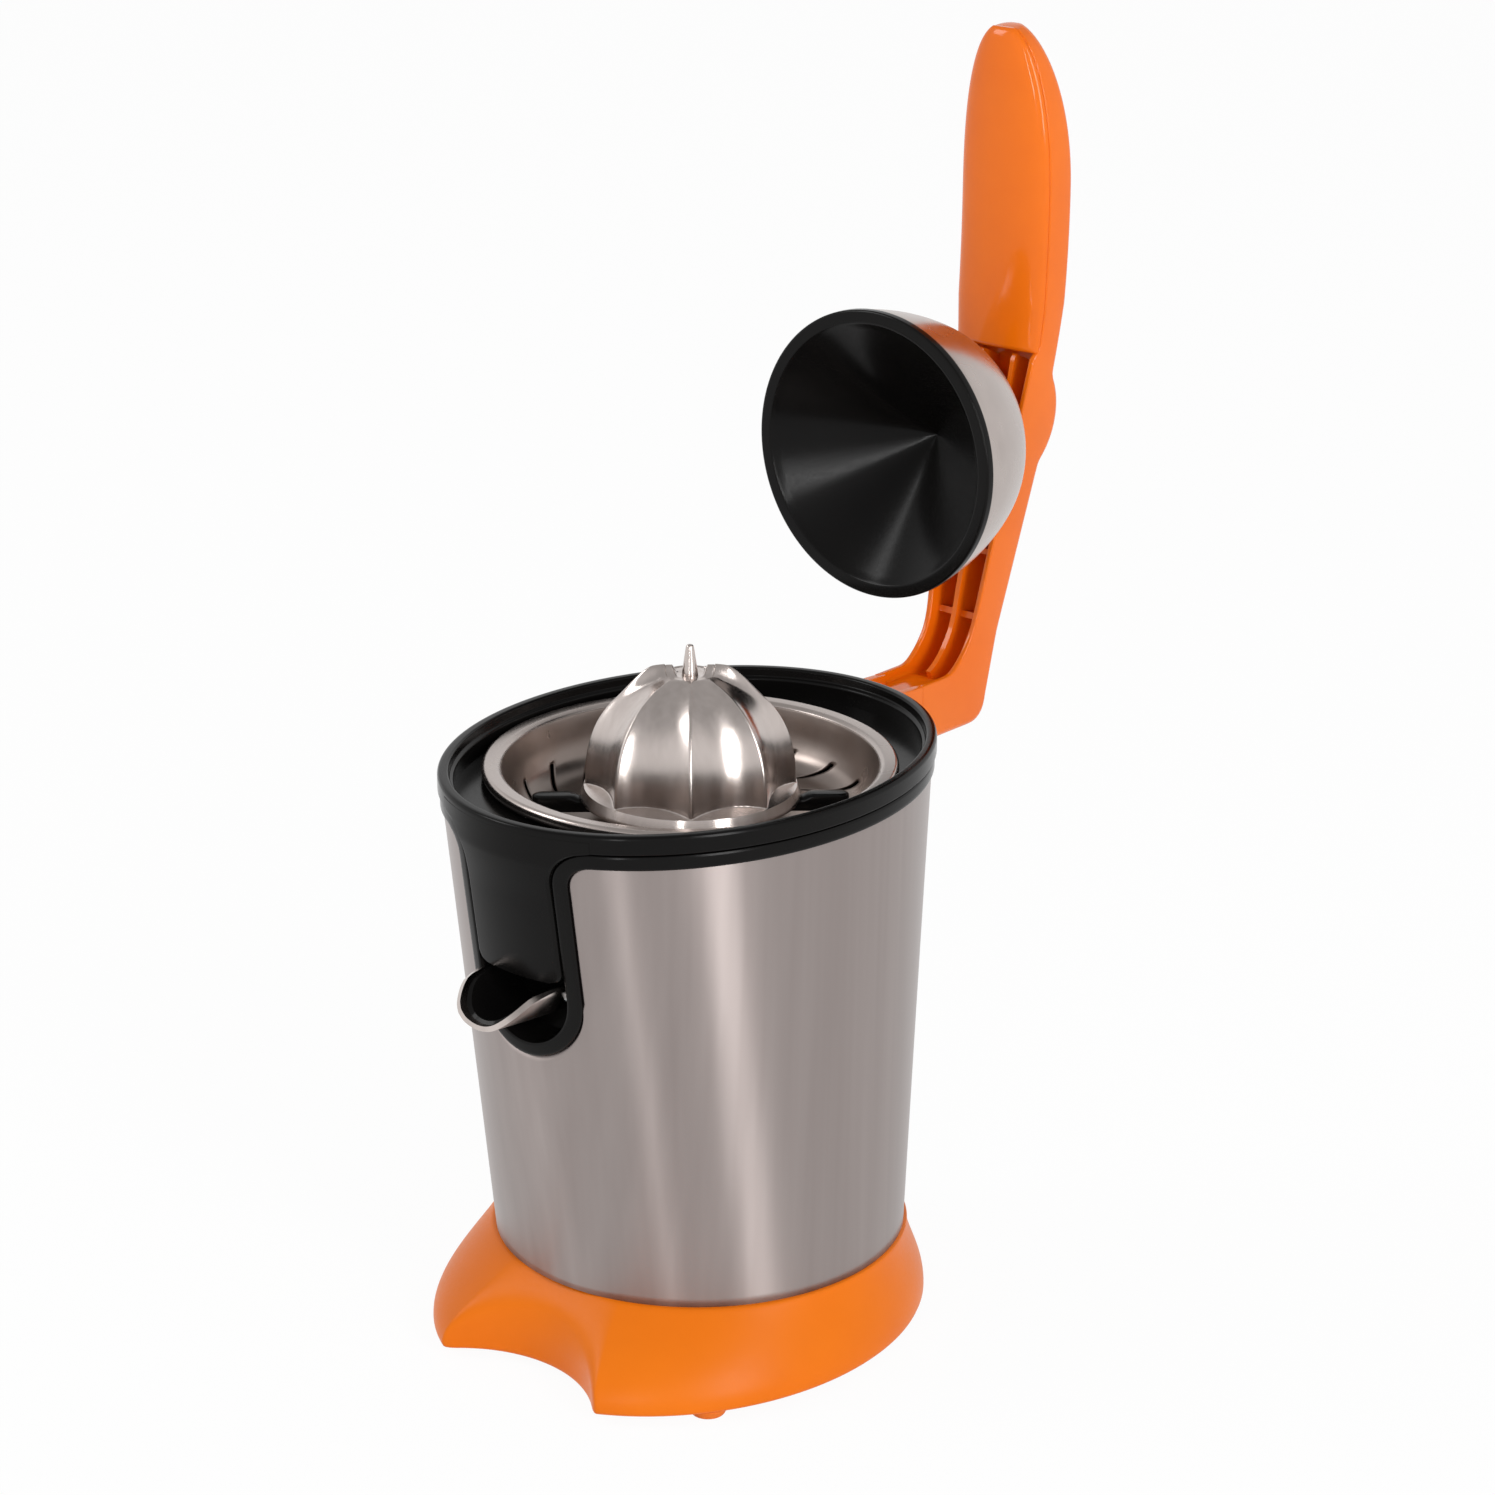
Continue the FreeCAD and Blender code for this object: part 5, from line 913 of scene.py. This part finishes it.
bend = np.linspace(0, math.pi / 2, 7)
fall, climb = 1 - np.sin(bend), 1 - np.cos(bend)
section_x = np.concatenate([[MIDDLE], -LEVER_ROUND * fall, [0.0], -EDGE_ROUND * climb,
                            EDGE_ROUND * fall - LEVER_WALL, [-LEVER_WALL], -LEVER_WALL - FLOOR_ROUND * climb,
                            [MIDDLE]])
closing = np.maximum(FOOT_CLOSING * (1 - smooth_step(131.0, 150.0, ahead[:, 0])),
                     smooth_step(437.0, 442.0, ahead[:, 1]))
whole = deep[:, None]
floor_deep = (whole - LEVER_WALL) * (1 - closing[:, None])
flat = np.zeros_like(whole)
outer_deep = [whole, whole - LEVER_ROUND * climb, whole / 2, flat + EDGE_ROUND * fall]
inner_deep = [flat + EDGE_ROUND * climb, floor_deep / 2,
              floor_deep - FLOOR_ROUND * fall * np.minimum(floor_deep / 4, 1), floor_deep]
section_deep = np.concatenate(outer_deep + [np.minimum(part, floor_deep) for part in inner_deep], 1)
place = ahead[:, None] + (behind - ahead)[:, None] * (section_deep / whole)[..., None]
x = np.maximum(lever_half(place[..., 1]) + section_x, 0)
right = xyz(x, place[..., 0], place[..., 1])
ring = np.concatenate([right, right[:, -2:0:-1] * (-1, 1, 1)], 1)
middle = ring[-1].mean(0)
tip = [middle + (ring[-1] - middle) * size + (0, 0, rise)
       for size, rise in ((0.96, 0.15), (0.85, 0.33), (0.65, 0.5), (0.35, 0.6), (0.0, 0.62))]
channel = [patch(np.concatenate([ring, np.stack(tip)]), wrap_v=True)]
half = right.shape[1] // 2
foot_end = np.stack([right[0, :half], right[0, :half - 1:-1]])
channel += [patch(foot_end), patch(foot_end * (-1, 1, 1))]

# %% [markdown]
# Ribs stiffen the channel: one long rib down the middle, three across, and a short pair between the boss
# and the cover. Each is a thin bar read from the same stations, from a little behind the front path to the
# floor. Two cheeks joined by a web carry the hinge eyes, and a boss takes the screw of the press cone.

# %% Ribs, cheeks and boss
CONE_FACE = 98.9
CONE_LEVEL = 301.2
RIB_LEVELS = (230.0, 254.0, 280.0)
RIB_SINK = 0.4
EYE_RADIUS = 6.1
CHEEK = ((8.0, 0.96), (8.3, 0.995), (8.8, 1.0), (10.8, 1.0), (11.25, 0.99), (11.5, 0.955))


def bar(where, left, right, front_gap):
    """A bar through places in the station list, between two sides, from a front gap to the floor."""
    start, end = (read_path(path, np.arange(len(path)), where) for path in (ahead, behind))
    long = np.linalg.norm(end - start, axis=1)[:, None]
    reach = long - LEVER_WALL + RIB_SINK
    depths = np.concatenate([np.full_like(long, front_gap)] * 2 + [reach] * 2, 1) / long
    spot = start[:, None] + (end - start)[:, None] * depths[..., None]
    return capped(xyz(np.stack([left, right, right, left], -1), spot[..., 0], spot[..., 1]))


def on_cone_axis(profile, sides):
    """A shape turned on the press cone's axis."""
    return [patch(turned_back(profile, CONE_FACE, CONE_LEVEL, sides), wrap_v=True)]


def station_at(level):
    """Station whose front point has a height, as a fraction of the list."""
    arm = slice(20, 120)
    return np.interp(level, ahead[arm, 1], np.arange(len(ahead))[arm])


ones = np.ones(60)
ribs = bar(np.linspace(14, station_at(288.0), 60), -ones, ones, 1.6)
for level in RIB_LEVELS:
    wide = lever_half(np.array([level - 6.0, level - 4.0])) - LEVER_WALL + RIB_SINK
    ribs += bar(station_at(np.array([level - 1.0, level + 1.0])), -wide, wide, 5.0)
rows = np.linspace(station_at(306.0), station_at(327.0), 12)
for side in (-7.5, 7.5):
    ribs += bar(rows, np.full(12, side - 0.9), np.full(12, side + 0.9), 2.2)
eye = np.linspace(math.pi / 2, 3 * math.pi / 2, 25)
eye_loop = np.concatenate([
    np.stack([np.full(12, 119.0), np.linspace(188.0, 210.4, 12)], -1),
    np.stack([HINGE_Y + EYE_RADIUS * np.cos(eye), HINGE_Z + EYE_RADIUS * np.sin(eye)], -1),
    np.stack([np.linspace(HINGE_Y + 3.0, 116.6, 11), np.linspace(HINGE_Z - 7.6, 187.8, 11)], -1)])
middle = eye_loop.mean(0)
x, size = np.array(CHEEK).T[..., None]
cheek = xyz(x, *(middle[i] + (eye_loop[:, i] - middle[i]) * size for i in (0, 1)))
web_y = np.array([111.2, 111.5, 119.0, 119.0, 111.5, 111.2])
web_z = np.array([206.6, 207.0, 207.2, 204.8, 204.8, 205.2])
web = xyz(np.linspace(-8.3, 8.3, 9)[:, None], web_y, web_z)
cheeks = capped(cheek) + capped(cheek * (-1, 1, 1)) + capped(web)
boss = rounded([(3.2, 59.1), (10.6, 59.1), (10.1, 60.6), (10.0, 87.0), (3.2, 87.0)], 0.8)
make_piece("lever", channel + ribs + cheeks + on_cone_axis(boss, 64), ORANGE, "lever",
           "lever_arm")
cap = rounded([(0.01, 86.0), (7.4, 86.0), (7.4, 89.6), (6.8, 90.1), (5.6, 90.15), (5.2, 89.8),
               (0.01, 89.7)], 0.4)
make_piece("cap", on_cone_axis(cap, 64), ORANGE, "lever", "boss_cap")

# %% [markdown]
# A pin joins the cheeks to the bracket. The grip's front is closed by a crowned cover that snaps in: in
# each section its face is a flat superellipse between its two edges, and a plug behind it fits into the
# channel. The small step round it is the seam.

# %% Hinge pin and grip cover
pivot = rounded([(0.01, -11.75), (2.2, -11.75), (2.5, -11.4), (2.5, 11.4), (2.2, 11.75), (0.01, 11.75)], 0.3)
y, z, x = np.moveaxis(turned(pivot, once_round(40)), -1, 0)
make_piece("pivot", [patch(xyz(x, HINGE_Y + y, HINGE_Z + z), wrap_v=True)], ZINC, "base",
           "hinge_pin")

COVER_HIGH = 446.6
COVER_FOOT = 2.5
COVER_TURN = 426.0
COVER_FRONT = 167.2
COVER_LEAN = 1.3
COVER_BOW = 1.5
SEAM = 0.35
level = steps(COVER_LOW, (COVER_LOW + COVER_FOOT, 10), (425.0, 50), (440.0, 24), (COVER_HIGH - 0.6, 20),
              (COVER_HIGH, 6))[:, None]
seat = np.interp(level, front_path[:, 1], front_path[:, 0]) + COVER_SIDE - SEAM
part = (level - COVER_LOW) / (COVER_HIGH - COVER_LOW)
line = COVER_FRONT + COVER_LEAN * part + COVER_BOW * np.sin(math.pi * part)
below = np.clip(1 - (level - COVER_LOW) / COVER_FOOT, 0, 1)
above = np.clip((level - COVER_TURN) / (COVER_HIGH - COVER_TURN), 0, 0.995)
crown = (seat - line) * np.sqrt(1 - 0.8 * below ** 2) * np.sqrt(1 - above ** 3)
wide = lever_half(level) - SEAM
across = side_to_side(81)
face = xyz(wide * across, seat - crown * np.maximum(1 - np.abs(across) ** 2.2, 0) ** 0.5, level)
plug = xyz(np.maximum(wide - LEVER_WALL, 0.1) * across[::-1], seat + 1.2, level)
make_piece("cover", capped(np.concatenate([face, plug], 1)), ORANGE, "lever",
           "handle_cover")

# %% [markdown]
# The press cone hangs on the lever. It is spun from steel sheet with a stepped crown, and a black lining
# with a flat rim clips into it; inside, the lining is a plain cone down to a point. Both are turned shapes
# whose axis points forward while the lever is raised.

# %% Press cone and lining
CONE_SHEET = 0.6
dome = np.concatenate([
    [(52.0, 3.6), (52.6, 3.6)], arc((52.6, 4.2), (44.0, 33.0), 95.0, 16),
    arc((44.0, 33.0), (24.4, 51.6), 40.0, 14)[1:], [(23.7, 52.1), (23.5, 52.8), (23.5, 54.0)],
    arc((23.3, 54.4), (17.0, 59.0), 9.0, 8), [(10.0, 59.0), (10.0, 57.5)]])
make_piece("cone", on_cone_axis(dome, 160), SATIN, "lever", "press_dome",
           wall=CONE_SHEET)
rim = rounded([(49.0, 4.6), (53.15, 3.5), (53.15, 0.5), (52.5, 0.05), (48.6, 0.05), (47.9, 0.6),
               (46.5, 1.8)], 0.6)
inside = np.stack([steps(46.5, (4.0, 40), (0.01, 8)), steps(1.8, (35.1, 40), (38.0, 8))], -1)[1:]
lining = np.concatenate([[(0.01, 39.6), (45.5, 4.6)], rim, inside])
make_piece("lining", on_cone_axis(lining, 160), BLACK, "lever", "press_liner")

# %% [markdown]
# The press stands on white paper in a white studio. Wherever a camera, a reflection or a clear surface
# looks straight at the paper or the surroundings it sees white, which darkens only towards the ceiling, and
# the paper keeps a soft shadow. The light itself is a dimmer even glow, a wide soft box on either side and
# a narrow upright strip behind the camera, to its left, whose reflection is the bright line on the sleeve.

# %% Stage and light
def looks_at(tree):
    """1 for rays that look straight at a thing: from the camera, a reflection or a clear surface."""
    rays = add(tree, "ShaderNodeLightPath").outputs
    found = rays["Is Camera Ray"]
    for kind in ("Is Glossy Ray", "Is Transmission Ray"):
        found = add(tree, "ShaderNodeMath", {"operation": "MAXIMUM"}, {0: found, 1: rays[kind]}).outputs[0]
    return found


floor_mesh = bpy.data.meshes.new("floor")
floor_mesh.from_pydata([(-6, -6, 0), (6, -6, 0), (6, 6, 0), (-6, 6, 0)], [], [(0, 1, 2, 3)])
floor = put("floor", floor_mesh)
# Matt coated paper, unrolled as a sweep.
material, tree, _ = start_material("white_paper")
paper = add(tree, "ShaderNodeBsdfDiffuse", inputs={"Color": linear("#FAFAFA")})
glow = add(tree, "ShaderNodeEmission", inputs={"Color": (1, 1, 1, 1), "Strength": 1.0})
white = add(tree, "ShaderNodeMixShader", inputs={0: 0.95, 1: paper.outputs[0], 2: glow.outputs[0]})
seen = add(tree, "ShaderNodeMixShader", inputs={0: looks_at(tree), 1: paper.outputs[0], 2: white.outputs[0]})
add(tree, "ShaderNodeOutputMaterial", inputs={"Surface": seen.outputs[0]})
floor_mesh.materials.append(material)

world = bpy.data.worlds.new("studio")
bpy.context.scene.world = world
world.use_nodes = True
tree = world.node_tree
tree.nodes.clear()
compass = add(tree, "ShaderNodeTexCoord")
height = add(tree, "ShaderNodeSeparateXYZ", inputs={0: compass.outputs["Generated"]})
ceiling = add(tree, "ShaderNodeMapRange", {"interpolation_type": "SMOOTHSTEP"}, {
    "Value": height.outputs["Z"], "From Min": 0.36, "From Max": 0.75, "To Min": 1.0, "To Max": 0.5})
strength = add(tree, "ShaderNodeMix", inputs={0: looks_at(tree), 2: 0.54, 3: ceiling.outputs["Result"]})
sky = add(tree, "ShaderNodeBackground", inputs={"Color": (1, 1, 1, 1), "Strength": strength.outputs[0]})
add(tree, "ShaderNodeOutputWorld", inputs={"Surface": sky.outputs[0]})


def turned_to(place, target):
    """A matrix at a place whose -Z axis looks at a target and whose X axis is level."""
    look = np.array(target, float) - np.array(place, float)
    look /= np.linalg.norm(look)
    right = np.cross(look, (0, 0, 1))
    right /= np.linalg.norm(right)
    up = np.cross(right, look)
    return Matrix.Translation(place) @ Matrix(np.stack([right, up, -look], 1).tolist()).to_4x4()


def soft_box(name, place, target, size, power):
    """A rectangular soft box that looks at a target; sizes in metres."""
    lamp = bpy.data.lights.new(name, "AREA")
    lamp.shape = "RECTANGLE"
    lamp.size, lamp.size_y = size
    lamp.energy = power
    put(name, lamp).matrix_world = turned_to(place, target)


soft_box("left_box", (-1.35, -1.2, 1.4), (0, 0, 0.2), (0.7, 0.8), 10)
soft_box("right_box", (2.0, -0.5, 0.9), (0, 0, 0.25), (0.5, 1.4), 22)
soft_box("strip", (0.98, -1.65, 0.68), (0, 0, 0.3), (0.1, 0.8), 4.5)

# %% [markdown]
# The camera was fitted to the photograph: its azimuth and height over the table and its distance from the
# reamer's axis, a long lens, and a look downwards of about twenty degrees.

# %% Camera
CAMERA_AZIMUTH = 41.9
CAMERA_REACH = 1.3222
CAMERA_HEIGHT = 0.6915
LOOK_AZIMUTH = 41.03
LOOK_DOWN = 19.79
FOCAL_SHARE = 4000 / 1495
turn, down = math.radians(LOOK_AZIMUTH), math.radians(LOOK_DOWN)
stand = np.array([CAMERA_REACH * math.sin(math.radians(CAMERA_AZIMUTH)),
                  AXIS_Y / 1000 - CAMERA_REACH * math.cos(math.radians(CAMERA_AZIMUTH)), CAMERA_HEIGHT])
look = np.array([-math.sin(turn) * math.cos(down), math.cos(turn) * math.cos(down), -math.sin(down)])
lens = bpy.data.cameras.new("camera")
lens.sensor_width = 36.0
lens.lens = lens.sensor_width * FOCAL_SHARE
lens.dof.use_dof = False
camera = put("camera", lens)
camera.matrix_world = turned_to(stand.tolist(), (stand + look).tolist())
bpy.context.scene.camera = camera
bpy.context.scene.view_settings.view_transform = "Standard"
print("camera at", stand.round(3), "metres")
